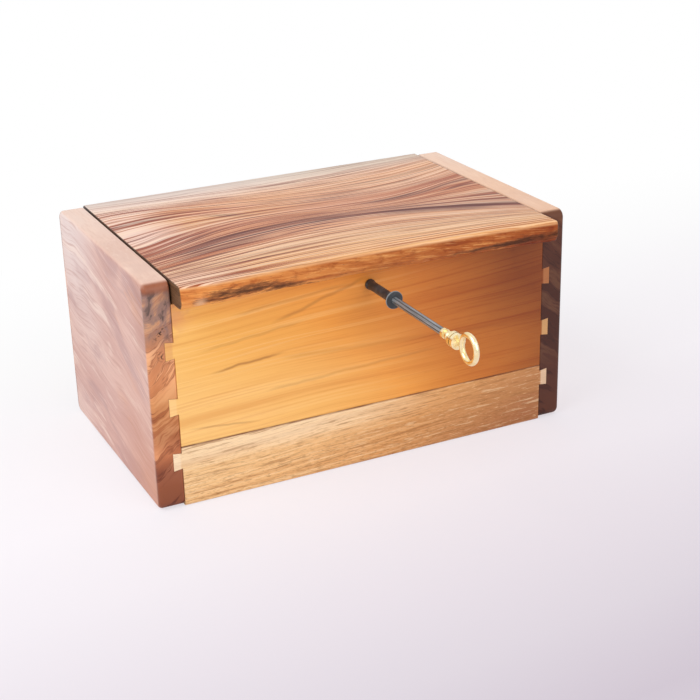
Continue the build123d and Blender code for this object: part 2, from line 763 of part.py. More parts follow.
# ---- spring housing: its crown of teeth drives the cylinder ----
bore = arbor_radius + running_fit
with BuildPart() as spring_housing:
    disc(bed(housing_level), housing_radius, housing_depth, bore=housing_radius - housing_wall)
    disc(bed(housing_top - housing_wall), housing_radius, housing_wall, bore=bore)
    with BuildSketch(bed(housing_top)) as crown:
        with PolarLocations(crown_pitch_radius, crown_teeth, start_angle=180 / crown_teeth):
            Rectangle(crown_face, crown_tooth_width)
    extrude(crown.sketch, amount=crown_tooth_height)
finish(spring_housing, "spring_housing")

with BuildPart() as housing_cover:
    disc(bed(housing_level), housing_radius - housing_wall - seat_fit, housing_wall, bore=bore)
finish(housing_cover, "housing_cover")

coil_pitch = mainspring_strip + mainspring_gap
first_radius = housing_radius - housing_wall - mainspring_strip - coil_pitch / 4
last_radius = spring_core_radius + mainspring_strip + coil_pitch / 4
half_turns = int((first_radius - last_radius) / (coil_pitch / 2))
with BuildPart() as mainspring:
    with BuildSketch(bed(spring_level)):
        with BuildLine():
            for index in range(half_turns):
                centre_u = coil_pitch / 4 * (-1 if index % 2 else 1)
                radius = first_radius - index * coil_pitch / 2
                CenterArc((centre_u, 0), radius, 180 if index % 2 else 0, 180)
        trace(line_width=mainspring_strip)
    extrude(amount=spring_width)
finish(mainspring, "mainspring")

# ---- cylinder: a pinned brass tube, its arbor, its pinion and its great gear ----
arbor_left = left_bracket_u + bracket_thickness + arbor_end_stand
arbor_right = right_bracket_u - bracket_thickness - arbor_end_stand
with BuildPart() as cylinder_arbor:
    disc(across(arbor_right), cylinder_arbor_radius, arbor_left - arbor_right)
finish(cylinder_arbor, "cylinder_arbor")

with BuildPart() as drive_pinion:
    pinion_module = 2 * pinion_pitch_radius / drive_pinion_teeth
    pinion_width = crown_face * 0.8
    pinion_plane = across(crown_pitch_radius - pinion_width / 2)
    gear(pinion_plane, drive_pinion_teeth, pinion_module, pinion_width, cylinder_arbor_radius)
finish(drive_pinion, "drive_pinion")

with BuildPart() as great_gear:
    gear(across(great_gear_u), great_teeth, gear_module, gear_face, cylinder_arbor_radius, 90)
finish(great_gear, "great_gear")

with BuildPart() as music_cylinder:
    tube_bore = cylinder_radius - cylinder_wall
    disc(across(cylinder_start), cylinder_radius, cylinder_length, bore=tube_bore)
    for u in (cylinder_start, cylinder_end - cylinder_wall):
        disc(across(u), cylinder_radius, cylinder_wall, bore=cylinder_arbor_radius)
    pin_length = pin_stand + cylinder_wall / 2
    pin_base = cylinder_radius - cylinder_wall / 2
    for note in range(note_count):
        note_plane = across(comb_start + (note + 0.5) * note_pitch)
        for index in range(pins_per_note):
            wander = index * note * pin_wander % pin_wander_limit
            angle = note * golden_angle + index * 360 / pins_per_note + wander
            pin = note_plane * Rot(0, 0, angle) * Pos(pin_base, 0, 0) * Rot(0, 90, 0)
            with Locations(pin):
                Cylinder(pin_radius, pin_length, align=(Align.CENTER, Align.CENTER, Align.MIN))
finish(music_cylinder, "music_cylinder")

# ---- brackets that carry the cylinder ----
bracket_top = axis_level + bracket_margin
for name, wall_u, foot_way in (
    ("right_bracket", right_bracket_u, -1),
    ("left_bracket", left_bracket_u, 1),
):
    with BuildPart() as bracket:
        wall_range = (wall_u, wall_u + foot_way * bracket_thickness)
        foot_range = (wall_u, wall_u + foot_way * (bracket_thickness + bracket_foot))
        half = (-bracket_half_width, bracket_half_width)
        block(bed(bedplate_thickness), wall_range, half, bracket_top - bedplate_thickness)
        block(bed(bedplate_thickness), foot_range, half, bracket_thickness)
        wall_edges = bracket.edges().filter_by(Axis.X).sort_by(Axis.Y)[-2:]
        fillet(wall_edges, bracket_half_width * 0.7)
        bore_plane = across(min(wall_range) - cut_over)
        bore_length = bracket_thickness + 2 * cut_over
        disc(bore_plane, cylinder_arbor_radius + running_fit, bore_length, mode=Mode.SUBTRACT)
        hole_radius = small_screw_radius + seat_fit
        disc(bed(0), hole_radius, 2 * bracket_foot, bracket_spots, mode=Mode.SUBTRACT)
    finish(bracket, name)

with BuildPart() as bracket_screws:
    bracket_foot_level = bedplate_thickness + bracket_thickness
    slotted_heads(bed(bracket_foot_level), bracket_spots, small_screw_head, screw_head_height)
    disc(bed(bracket_foot_level), small_screw_radius, blind_floor - bracket_foot_level, bracket_spots)
finish(bracket_screws, "bracket_screws")

# ---- comb: eighteen tuned teeth, long to short, screwed to its bar ----
with BuildPart() as comb:
    with BuildSketch(bed(comb_level)):
        with Locations(((comb_start + comb_end) / 2, (comb_tip_v + comb_heel_v) / 2)):
            Rectangle(comb_end - comb_start, comb_tip_v - comb_heel_v)
        for gap in range(1, note_count):
            depth = comb_bass_tooth + (comb_treble_tooth - comb_bass_tooth) * gap / note_count
            with Locations((comb_end - gap * note_pitch, comb_tip_v - depth / 2)):
                Rectangle(comb_slot, depth, mode=Mode.SUBTRACT)
        with Locations(*comb_screw_spots):
            Circle(small_screw_radius + seat_fit, mode=Mode.SUBTRACT)
    extrude(amount=comb_thickness)
finish(comb, "comb")

with BuildPart() as comb_bar:
    bar_v = (comb_heel_v, comb_heel_v + comb_root)
    block(bed(bedplate_thickness), (comb_start, comb_end), bar_v, comb_level - bedplate_thickness)
    hole_radius = small_screw_radius + seat_fit
    hole_depth = small_screw_length + seat_fit
    disc(bed(comb_level), hole_radius, -hole_depth, comb_screw_spots, mode=Mode.SUBTRACT)
finish(comb_bar, "comb_bar")

with BuildPart() as comb_screws:
    comb_top = comb_level + comb_thickness
    slotted_heads(bed(comb_top), comb_screw_spots, small_screw_head, screw_head_height)
    shank_length = comb_thickness + small_screw_length
    disc(bed(comb_top), small_screw_radius, -shank_length, comb_screw_spots)
finish(comb_screws, "comb_screws")

# ---- governor: a wheel and worm that spin a fly against the air ----
with BuildPart() as governor_frame:
    sheet_level = bed(bedplate_thickness)
    v_range = (lower_arm_v - frame_sheet, upper_arm_v)
    block(sheet_level, (frame_right, frame_left), v_range, frame_sheet)
    wall_v = (governor_v - frame_wall_drop, upper_arm_v)
    wall_height = axis_level + frame_wall_stand - bedplate_thickness
    block(sheet_level, (frame_left - frame_sheet, frame_left), wall_v, wall_height)
    tab_v = (governor_v - tab_half_width, governor_v + governor_arbor_radius + tab_rise)
    tab_height = comb_level + frame_wall_stand - bedplate_thickness
    block(sheet_level, (frame_right, frame_right + frame_tab_sheet), tab_v, tab_height)
    arm_u = (worm_u - arm_half_width, worm_u + arm_half_width)
    arm_height = worm_level + arm_stand - bedplate_thickness
    for arm_v in (upper_arm_v, lower_arm_v):
        block(sheet_level, arm_u, (arm_v - frame_sheet, arm_v), arm_height)
    pivot_hole = pivot_radius + running_fit
    arbor_line = across(frame_right - cut_over, v=governor_v)
    arbor_span = frame_left - frame_right + 2 * cut_over
    disc(arbor_line, pivot_hole, arbor_span, mode=Mode.SUBTRACT)
    worm_line = upright(lower_arm_v - frame_sheet - cut_over)
    worm_span = upper_arm_v - lower_arm_v + frame_sheet + 2 * cut_over
    disc(worm_line, pivot_hole, worm_span, mode=Mode.SUBTRACT)
    hole_radius = small_screw_radius + seat_fit
    hole_depth = frame_sheet + 2 * cut_over
    disc(bed(bedplate_thickness - cut_over), hole_radius, hole_depth, frame_screw_spots, mode=Mode.SUBTRACT)
finish(governor_frame, "governor_frame")

with BuildPart() as governor_screws:
    sheet_top = bedplate_thickness + frame_sheet
    slotted_heads(bed(sheet_top), frame_screw_spots, small_screw_head, screw_head_height * low_head)
    disc(bed(sheet_top), small_screw_radius, blind_floor - sheet_top, frame_screw_spots)
finish(governor_screws, "governor_screws")

with BuildPart() as governor_arbor:
    shoulder_right = frame_right + frame_tab_sheet + pivot_shoulder
    shoulder_left = frame_left - frame_sheet - pivot_shoulder
    start = across(shoulder_right, v=governor_v)
    disc(start, governor_arbor_radius, shoulder_left - shoulder_right)
    end = across(frame_right, v=governor_v)
    disc(end, pivot_radius, frame_left - frame_right)
    gear(across(great_gear_u, v=governor_v), governor_pinion_teeth, gear_module, gear_face, 0, 22.5)
finish(governor_arbor, "governor_arbor")

with BuildPart() as worm_wheel:
    wheel_plane = across(worm_wheel_u, v=governor_v)
    gear(wheel_plane, worm_wheel_teeth, gear_module, gear_face, governor_arbor_radius)
finish(worm_wheel, "worm_wheel")

worm_top = upper_arm_v - frame_sheet - pivot_shoulder
worm_bottom = lower_arm_v + pivot_shoulder
with BuildPart() as worm:
    disc(upright(worm_bottom), governor_arbor_radius, worm_top - worm_bottom)
    disc(upright(lower_arm_v - frame_sheet), pivot_radius, upper_arm_v - lower_arm_v + frame_sheet)
    # at rest a tooth of the wheel points at the worm, so the thread passes half a pitch from it
    thread_start = upright(governor_v + worm_pitch * (1 / 4 - worm_turns / 2))
    thread_half = worm_pitch * tooth_share / 2
    thread_depth = worm_pitch_radius + thread_stand - governor_arbor_radius
    path = thread_start.location * Helix(worm_pitch, worm_turns * worm_pitch, governor_arbor_radius)
    with BuildSketch(Plane(path @ 0, x_dir=(1, 0, 0), z_dir=path % 0)) as thread:
        Polygon(
            (-sunk, -thread_half * thread_foot),
            (thread_depth, -thread_half * thread_crest),
            (thread_depth, thread_half * thread_crest),
            (-sunk, thread_half * thread_foot),
            align=None,
        )
    sweep(thread.sketch, path=path, is_frenet=True)
finish(worm, "worm")

with BuildPart() as fly:
    hub_radius = governor_arbor_radius + fly_hub_wall
    disc(upright(fly_bottom_v), hub_radius, fly_length, bore=governor_arbor_radius)
    fly_plane = upright(fly_bottom_v + fly_blade_inset)
    blade_root = governor_arbor_radius + fly_blade_root
    for way in (-1, 1):
        with BuildSketch(fly_plane) as blade:
            with Locations((0, way * (fly_radius + blade_root) / 2)):
                Rectangle(fly_sheet, fly_radius - blade_root)
        extrude(blade.sketch, amount=fly_length - 2 * fly_blade_inset)
finish(fly, "fly")

# ---- stop lever: its finger swings into the fly's path ----
with BuildPart() as stop_lever:
    half = lever_width / 2
    level = bed(lever_level)
    block(level, (lever_u - half, lever_u + half), (lever_v - lever_drop, lever_v + lever_rise), lever_sheet)
    finger_u = (lever_u - lever_finger, lever_u + half)
    block(level, finger_u, (lever_v - lever_drop - half, lever_v - lever_drop + half), lever_sheet)
    tab_v = (lever_v + lever_rise - lever_sheet, lever_v + lever_rise)
    block(level, (lever_u - half, lever_u + half), tab_v, lever_tab)
    disc(level, lever_boss_radius, lever_sheet, lever_spot)
    bore_length = lever_sheet + 2 * cut_over
    bore_radius = lever_post_radius + running_fit
    disc(level.offset(-cut_over), bore_radius, bore_length, lever_spot, mode=Mode.SUBTRACT)
finish(stop_lever, "stop_lever")

with BuildPart() as lever_post:
    lever_top = lever_level + lever_sheet + plate_gap
    shoulder_height = lever_level - plate_gap - bedplate_thickness
    disc(bed(blind_floor), lever_post_radius, lever_top - blind_floor, lever_spot)
    disc(bed(bedplate_thickness), lever_post_head, shoulder_height, lever_spot)
    disc(bed(lever_top), lever_post_head, lever_post_head_height, lever_spot)
finish(lever_post, "lever_post")
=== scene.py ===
from math import cos, pi, radians, sin

import bpy
import numpy as np
from mathutils import Matrix, Vector, noise


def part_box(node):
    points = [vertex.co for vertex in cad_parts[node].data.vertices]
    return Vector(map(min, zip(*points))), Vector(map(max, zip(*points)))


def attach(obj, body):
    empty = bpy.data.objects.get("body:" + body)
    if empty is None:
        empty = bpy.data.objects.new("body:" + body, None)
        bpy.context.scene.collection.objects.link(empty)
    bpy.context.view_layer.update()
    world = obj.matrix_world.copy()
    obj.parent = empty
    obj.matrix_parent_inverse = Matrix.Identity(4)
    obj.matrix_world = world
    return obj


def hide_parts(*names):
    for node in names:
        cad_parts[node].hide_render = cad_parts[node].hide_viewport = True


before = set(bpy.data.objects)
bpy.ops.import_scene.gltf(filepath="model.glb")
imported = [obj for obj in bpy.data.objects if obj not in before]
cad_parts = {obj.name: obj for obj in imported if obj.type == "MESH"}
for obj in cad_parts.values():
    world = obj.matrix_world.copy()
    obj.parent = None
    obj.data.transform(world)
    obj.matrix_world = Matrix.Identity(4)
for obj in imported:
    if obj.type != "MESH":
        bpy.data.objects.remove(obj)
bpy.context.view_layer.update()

# ---- camera ----
# It stands to the left of the front and above it, and looks at the middle of the case.
left_low, left_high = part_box("left_end_panel")
right_low, right_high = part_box("right_end_panel")
case_middle = (Vector(left_low) + Vector(right_high)) / 2
camera_turn, camera_lift, camera_roll = radians(-25.731), radians(22.608), radians(-1.514)
camera_distance = 0.8925
camera_pan = (0.02291, -0.02206)
lens_mm = 77.01
sensor_mm = 36.0

camera_data = bpy.data.cameras.new("camera")
camera_data.sensor_width = sensor_mm
camera_data.lens = lens_mm
camera = bpy.data.objects.new("camera", camera_data)
bpy.context.scene.collection.objects.link(camera)
level = Vector((cos(camera_turn), sin(camera_turn), 0))
away = cos(camera_lift) * Vector((sin(camera_turn), -cos(camera_turn), 0))
away.z = sin(camera_lift)
upright = away.cross(level)
sideways = cos(camera_roll) * level + sin(camera_roll) * upright
upwards = cos(camera_roll) * upright - sin(camera_roll) * level
stand = case_middle + away * camera_distance + sideways * camera_pan[0] + upwards * camera_pan[1]
facing = Matrix((sideways, upwards, away)).transposed()
camera.matrix_world = Matrix.Translation(stand) @ facing.to_4x4()
bpy.context.scene.camera = camera


# ---- backdrop and light ----
# A pale table that fades to white all round, with a band of painted shade on it in front of the
# case, one broad soft lamp high on the left and a weak one in front. The sky looks plain white,
# directly, mirrored or through glass, but lights more weakly.
class Wire:
    """An output inside one material. Arithmetic on it adds the nodes that work it out."""

    def __init__(self, socket):
        self.socket = socket
        self.tree = socket.id_data

    def node(self, kind, settings=None, sockets=None, out=0):
        """One more node: its settings are set first, then its sockets take values or wires."""
        made = self.tree.nodes.new("ShaderNode" + kind)
        for name, value in (settings or {}).items():
            if name == "stops":
                elements = made.color_ramp.elements
                while len(elements) < len(value):
                    elements.new(1.0)
                for stop, (place, colour) in zip(elements, value):
                    stop.position = place
                    stop.color = colour
            else:
                setattr(made, name, value)
        for name, value in (sockets or {}).items():
            if isinstance(value, Wire):
                self.tree.links.new(value.socket, made.inputs[name])
            else:
                made.inputs[name].default_value = value
        return Wire(made.outputs[out])

    def maths(self, operation, *values):
        return self.node("Math", {"operation": operation}, dict(enumerate(values)))

    def __add__(self, other):
        return self.maths("ADD", self, other)

    def __sub__(self, other):
        return self.maths("SUBTRACT", self, other)

    def __rsub__(self, other):
        return self.maths("SUBTRACT", other, self)

    def __mul__(self, other):
        return self.maths("MULTIPLY", self, other)

    def __truediv__(self, other):
        return self.maths("DIVIDE", self, other)

    def __rtruediv__(self, other):
        return self.maths("DIVIDE", other, self)

    def __pow__(self, other):
        return self.maths("POWER", self, other)

    def __rpow__(self, other):
        return self.maths("POWER", other, self)

    def __abs__(self):
        return self.maths("ABSOLUTE", self)

    __radd__ = __add__
    __rmul__ = __mul__

    def least(self, other):
        return self.maths("MINIMUM", self, other)

    def most(self, other):
        return self.maths("MAXIMUM", self, other)

    def ease(self, start, end):
        """0 before start, 1 past end and a smooth rise between them, in either direction."""
        ends = (0.0, 1.0) if start < end else (1.0, 0.0)
        sockets = {"Value": self, "From Min": min(start, end), "From Max": max(start, end)}
        sockets |= {"To Min": ends[0], "To Max": ends[1]}
        return self.node("MapRange", {"interpolation_type": "SMOOTHSTEP"}, sockets)

    def spread(self, start, end):
        """0 before start, 1 past end and an even rise between them."""
        return self.node("MapRange", {}, {"Value": self, "From Min": start, "From Max": end})

    def near(self, centre, reach):
        """1 at centre, smoothly down to 0 at reach from it."""
        return abs(self - centre).ease(reach, 0.0)


def paint(code):
    """A colour from its six-digit screen code."""
    parts = [int(code[i : i + 2], 16) / 255 for i in (0, 2, 4)]
    linear = [c / 12.92 if c <= 0.04045 else ((c + 0.055) / 1.055) ** 2.4 for c in parts]
    return (*linear, 1.0)


def ramp(share, stops):
    """The colour at a share from 0 to 1 along stops, each a place and a screen code."""
    stops = [(place, paint(code)) for place, code in stops]
    return share.node("ValToRGB", {"stops": stops}, {0: share})


def tint(mask, under, over):
    """Under where mask is 0, over where it is 1."""
    sockets = {0: mask, 6: under, 7: over}
    return mask.node("Mix", {"data_type": "RGBA", "clamp_factor": True}, sockets, out=2)


def darken(mask, colour, shade):
    """Colour multiplied by shade where mask is 1."""
    settings = {"data_type": "RGBA", "blend_type": "MULTIPLY", "clamp_factor": True}
    return mask.node("Mix", settings, {0: mask, 6: colour, 7: shade}, out=2)


to_mm = 1000.0


def start(name):
    """A new material and the three coordinates of its surface, in millimetres."""
    material = bpy.data.materials.new(name)
    material.use_nodes = True
    material.node_tree.nodes.clear()
    place = Wire(material.node_tree.nodes.new("ShaderNodeTexCoord").outputs["Object"])
    metres = [place.node("SeparateXYZ", {}, {0: place}, out=axis) for axis in range(3)]
    return material, *[axis * to_mm for axis in metres]


def cloud(x, y, z, detail=2.0, rough=0.5, twist=0.0):
    """Smooth noise about 0.5 whose lumps are one unit across."""
    vector = x.node("CombineXYZ", {}, {0: x, 1: y, 2: z})
    sockets = {"Vector": vector, "Scale": 1.0, "Detail": detail}
    sockets |= {"Roughness": rough, "Distortion": twist}
    return x.node("TexNoise", {"noise_dimensions": "3D"}, sockets)


def surface(material, colour, rough, height, depth, **constants):
    """The shader of a finished surface. Height is in units of depth, a length in metres."""
    bump = colour.node("Bump", {}, {"Strength": 1.0, "Distance": depth, "Height": height})
    sockets = {"Base Color": colour, "Roughness": rough, "Normal": bump}
    shader = colour.node("BsdfPrincipled", {}, {**sockets, **constants})
    output = material.node_tree.nodes.new("ShaderNodeOutputMaterial")
    material.node_tree.links.new(shader.socket, output.inputs["Surface"])
    return material


table_reach = 6.0
table_drop = 0.0002
lamp_power = 9.5
lamp_size = 0.9
fill_power = 4.8
sky_strength = 0.62
floor_glow_from, floor_glow_to = -900.0, 150.0
fade_near, fade_far = 360.0, 900.0
veil_least, veil_depth = 0.65, 350.0

signs = ((-1, -1), (1, -1), (1, 1), (-1, 1))
corners = [(x * table_reach, y * table_reach, -table_drop) for x, y in signs]
table_mesh = bpy.data.meshes.new("table")
table_mesh.from_pydata(corners, [], [(0, 1, 2, 3)])
table = bpy.data.objects.new("table", table_mesh)
bpy.context.scene.collection.objects.link(table)
table_paint, x, y, z = start("table_paint")
# the table's glow for direct sight: pale lavender near the case with a darker band of painted shade
# in front of it, about a third of a metre out, and white far off and behind
floor_glow_with_painted_shade = ramp(
    (y - x * 0.1).spread(floor_glow_from, floor_glow_to),
    (
        (0.0, "FAF7FB"),
        (0.36, "DAD1DC"),
        (0.543, "B8A9BA"),
        (0.6, "D1C7D2"),
        (0.657, "E1D8E1"),
        (0.735, "F2ECF2"),
        (0.808, "FCF8FC"),
        (1.0, "FFFFFF"),
    ),
)
far_off = ((x * x + y * y) ** 0.5).ease(fade_near, fade_far)
floor_glow_with_painted_shade = tint(far_off, floor_glow_with_painted_shade, paint("FFFFFF"))
sheet = tint(cloud(x * 0.004, y * 0.004, z) * 0.3, paint("F6F2F7"), paint("EFEAF1"))
paper_finish = {"Base Color": sheet, "Roughness": 0.9, "Specular IOR Level": 0.1}
paper = sheet.node("BsdfPrincipled", {}, paper_finish)
glare_finish = {"Base Color": paint("000000"), "Specular IOR Level": 0.0}
glare_finish |= {"Emission Color": floor_glow_with_painted_shade, "Emission Strength": 1.0}
glare = floor_glow_with_painted_shade.node("BsdfPrincipled", {}, glare_finish)
direct = y.node("LightPath", {}, {})
whiter_behind = y.ease(0.0, veil_depth) * (1.0 - veil_least) + veil_least
veil = direct * whiter_behind.most(far_off)
blend = veil.node("MixShader", {}, {0: veil, 1: paper, 2: glare})
table_out = table_paint.node_tree.nodes.new("ShaderNodeOutputMaterial")
table_paint.node_tree.links.new(blend.socket, table_out.inputs["Surface"])
table_mesh.materials.append(table_paint)

sky = bpy.data.worlds.new("sky")
sky.use_nodes = True
sky.node_tree.nodes.clear()
sight = sky.node_tree.nodes.new("ShaderNodeLightPath")
kinds = ("Is Camera Ray", "Is Glossy Ray", "Is Transmission Ray")
looked_at, mirrored, seen_through = [Wire(sight.outputs[kind]) for kind in kinds]
strength = (looked_at + mirrored + seen_through).least(1.0)
strength = strength * (1.0 - sky_strength) + sky_strength
glow = strength.node("Background", {}, {"Color": (1.0, 1.0, 1.0, 1.0), "Strength": strength})
sky_out = sky.node_tree.nodes.new("ShaderNodeOutputWorld")
sky.node_tree.links.new(glow.socket, sky_out.inputs["Surface"])
bpy.context.scene.world = sky
bpy.context.scene.view_settings.view_transform = "Standard"


def soft_lamp(name, place, power):
    """A broad square lamp that faces the middle of the case."""
    data = bpy.data.lights.new(name, "AREA")
    data.energy = power
    data.size = lamp_size
    lamp = bpy.data.objects.new(name, data)
    lamp.location = place
    lamp.rotation_mode = "QUATERNION"
    lamp.rotation_quaternion = (case_middle - lamp.location).to_track_quat("-Z", "Y")
    bpy.context.scene.collection.objects.link(lamp)


soft_lamp("window_lamp", (-0.95, -0.25, 1.15), lamp_power)
soft_lamp("front_lamp", (0.25, -1.25, 0.75), fill_power)

# ---- end panels ----
# Two solid boards of a pinkish brown wood, oiled to a satin sheen. They run the full height of the
# case with every outer edge rounded over, and their front and back edges are cut for the tails.
case_front = left_low[1] * to_mm
case_top = left_high[2] * to_mm
inner_side = right_low[0] * to_mm
wall_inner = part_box("back_upper_board")[0][1] * to_mm
seam_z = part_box("front_upper_board")[0][2] * to_mm
tail_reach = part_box("front_upper_board")[1][0] * to_mm - inner_side
tail_heights = (27.0, 58.9, 90.8)
tail_root_half, tail_tip_half = 4.4, 5.1
joint_line = 0.35
edge_start, edge_full = 4.4, 1.6


def tail_distance(x, z):
    """How far a point of an end panel's edge lies outside the nearest tail."""
    across = abs(x) - inner_side
    half = across * ((tail_tip_half - tail_root_half) / tail_reach) + tail_root_half
    nearest = None
    for height in tail_heights:
        gap = (abs(z - height) - half).most(across - tail_reach)
        nearest = gap if nearest is None else nearest.least(gap)
    return nearest


satin = {"Specular IOR Level": 0.3, "Coat Weight": 0.04, "Coat Roughness": 0.3}


def end_panel_wood(name, face, shade, warm, top, edge, marbled, streaks, seed):
    """The oiled outer face, paler toward its top and back with painted sheen, and the darker cut
    edges, marbled near the top where bark was close. The top edge is paler, partly its wood and
    partly painted sheen.
    Edge is the colour of the cut edges from the foot up, as heights in millimetres and codes."""
    material, x, y, z = start(name)
    warp = cloud(y * 0.012, z * 0.016, x * 0.01 + seed, detail=2.0) * 22.0
    arch = z - y * 0.14 + (y + 12.0) ** 2.0 * 0.0008 + warp
    bands = cloud(arch * 0.06, y * 0.004, x * 0.03 + seed, detail=3.0, rough=0.55)
    smoke = cloud(y * 0.016, arch * 0.045, seed + 4.0, detail=3.0, rough=0.55, twist=0.5)
    fibres = cloud(y * 0.03, arch * 0.9, x * 0.9 + seed, detail=3.0, rough=0.6)
    gleam = cloud(y * 0.02, arch * 0.11, x * 0.1 + seed + 9.0, detail=3.0, rough=0.6)
    colour = tint(bands.ease(0.38, 0.64), face, shade)
    # painted sheen: the face paler toward the top and toward the back
    painted_sheen_above = (z - y * 0.3).ease(20.0, 105.0) * y.ease(-14.0, 60.0)
    colour = tint(painted_sheen_above * 0.75, colour, paint("EEE0DA"))
    colour = tint(z.ease(30.0, 4.0) * y.ease(20.0, 60.0) * 0.6, colour, paint("EED2C6"))
    colour = tint(smoke.ease(0.5, 0.66) * 0.6, colour, paint("B58C88"))
    colour = tint(gleam.ease(0.56, 0.68) * 0.6, colour, paint("F3DACB"))
    colour = tint(gleam.ease(0.44, 0.34) * y.ease(20.0, -50.0) * 0.4, colour, paint("DDA47E"))
    colour = tint(fibres.ease(0.5, 0.68) * 0.46, colour, paint("B88474"))
    colour = tint(fibres.ease(0.42, 0.3) * 0.4, colour, paint("F4DDD0"))
    colour = darken(y.ease(-44.0, -70.0) * z.ease(70.0, 96.0) * 0.5, colour, paint("DCC2B4"))
    low_front = y.ease(0.0, -70.0) * (z - y * 0.3 + smoke * 40.0).ease(120.0, 40.0)
    colour = tint(low_front * 0.75, colour, warm)
    # the top edge paler: partly its wood, partly painted sheen
    colour = tint(z.ease(case_top - 1.2, case_top - 0.2) * (gleam * 0.5 + 0.4), colour, top)
    # the cut edges: a figure that climbs to the inside, and grey stains where the bark was close
    at_edge = abs(y).ease(-case_front - edge_start, -case_front - edge_full)
    drift = cloud(x * 0.04, z * 0.035, seed + 3.0, detail=3.0, rough=0.55) * 16.0
    climb = z + abs(x) * 0.8 + drift
    figure = cloud(climb * 0.11, x * 0.02, seed + 6.0, detail=4.0, rough=0.6)
    stops = [(height / case_top, code) for height, code in edge]
    cut = ramp((z + (drift - 8.0) * 0.5).spread(0.0, case_top), stops)
    plain = z.ease(110.0, 90.0) * 0.6 + 0.4
    cut = darken(figure.ease(0.48, 0.62) * plain * 0.6, cut, paint("B98460"))
    cut = tint(figure.near(0.43, 0.06) * z.ease(26.0, 50.0) * streaks, cut, paint("EDB27C"))
    cut = darken(figure.near(0.56, 0.025) * 0.55, cut, paint("9A6446"))
    upper_part = z.ease(92.0, 106.0) * marbled
    marble = cloud(x * 0.13, z * 0.1 - x * 0.05, seed + 13.0, detail=4.0, rough=0.55, twist=0.4)
    cut = tint(marble.ease(0.4, 0.54) * upper_part * 0.75, cut, paint("8B6F69"))
    cut = tint(marble.ease(0.54, 0.62) * upper_part * 0.75, cut, paint("4A3C39"))
    cut = tint(marble.ease(0.4, 0.3) * upper_part * 0.7, cut, paint("BE7548"))
    cut = tint(z.ease(case_top - 7.0, case_top - 3.0) * 0.85 * marbled, cut, paint("9A5636"))
    pit_chain = (z - 104.0 + (abs(x) - 117.0) * 0.9).near(0.0, 3.0) * abs(x).near(119.5, 5.5)
    pit_group = (z - 89.0).near(0.0, 4.0) * abs(x).near(120.0, 2.6)
    pits = cloud(x * 0.75, z * 0.75, seed + 11.0, detail=1.0).ease(0.5, 0.57)
    pits = pits * (pit_chain + pit_group).least(1.0) * marbled
    cut = tint(pits * 0.9, cut, paint("1E1412"))
    colour = tint(at_edge, colour, cut)
    joint = tail_distance(x, z).ease(joint_line, 0.05) * abs(y).ease(wall_inner, wall_inner + 0.4)
    colour = tint(joint * 0.55, colour, paint("5A3422"))
    rough = fibres * 0.14 + 0.34 + pits * 0.3
    height = fibres * 0.6 - pits * 1.5 * at_edge - joint
    return surface(material, colour, rough, height, 0.00008, **satin)


left_wood = end_panel_wood(
    "left_panel_wood",
    face=paint("DEB6A7"),
    shade=paint("CFA295"),
    warm=paint("C88A6C"),
    top=paint("ECC8B4"),
    edge=(
        (0.0, "82462C"),
        (14.0, "8E4E30"),
        (23.0, "9A5A3E"),
        (32.0, "DC9466"),
        (42.0, "AA643B"),
        (52.0, "BC7544"),
        (62.0, "D28E58"),
        (76.0, "F4B07A"),
        (92.0, "EAAC7E"),
        (104.0, "B8876C"),
        (116.0, "AE7C64"),
    ),
    marbled=1.0,
    streaks=0.35,
    seed=0.0,
)
right_wood = end_panel_wood(
    "right_panel_wood",
    face=paint("E3B597"),
    shade=paint("CC9878"),
    warm=paint("C98F6C"),
    top=paint("F6CAAA"),
    edge=(
        (0.0, "582D1B"),
        (30.0, "50281A"),
        (80.0, "502A1B"),
        (112.0, "5A2F1E"),
        (129.0, "683C26"),
    ),
    marbled=0.0,
    streaks=0.05,
    seed=20.0,
)


def finish_node(node, material):
    """Give a frame node its finish, in the one slot that it has."""
    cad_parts[node].material_slots[0].material = material


finish_node("left_end_panel", left_wood)
finish_node("right_end_panel", right_wood)

# ---- front and back walls ----
# Each wall is a golden upper board glued edge to edge on a paler lower one, planed flush, with
# flared tails at both ends that are glued into the end panels.
tail_start, tail_full = 0.4, 1.6


def seam_shade(x, z, colour):
    """The thin dark line where the upper board meets the lower one."""
    broken = cloud(x * 0.03, 0.0, 7.0, detail=3.0).ease(0.4, 0.6)
    return tint(z.near(seam_z, 1.0) * (broken * 0.5 + 0.45), colour, paint("7A4020"))


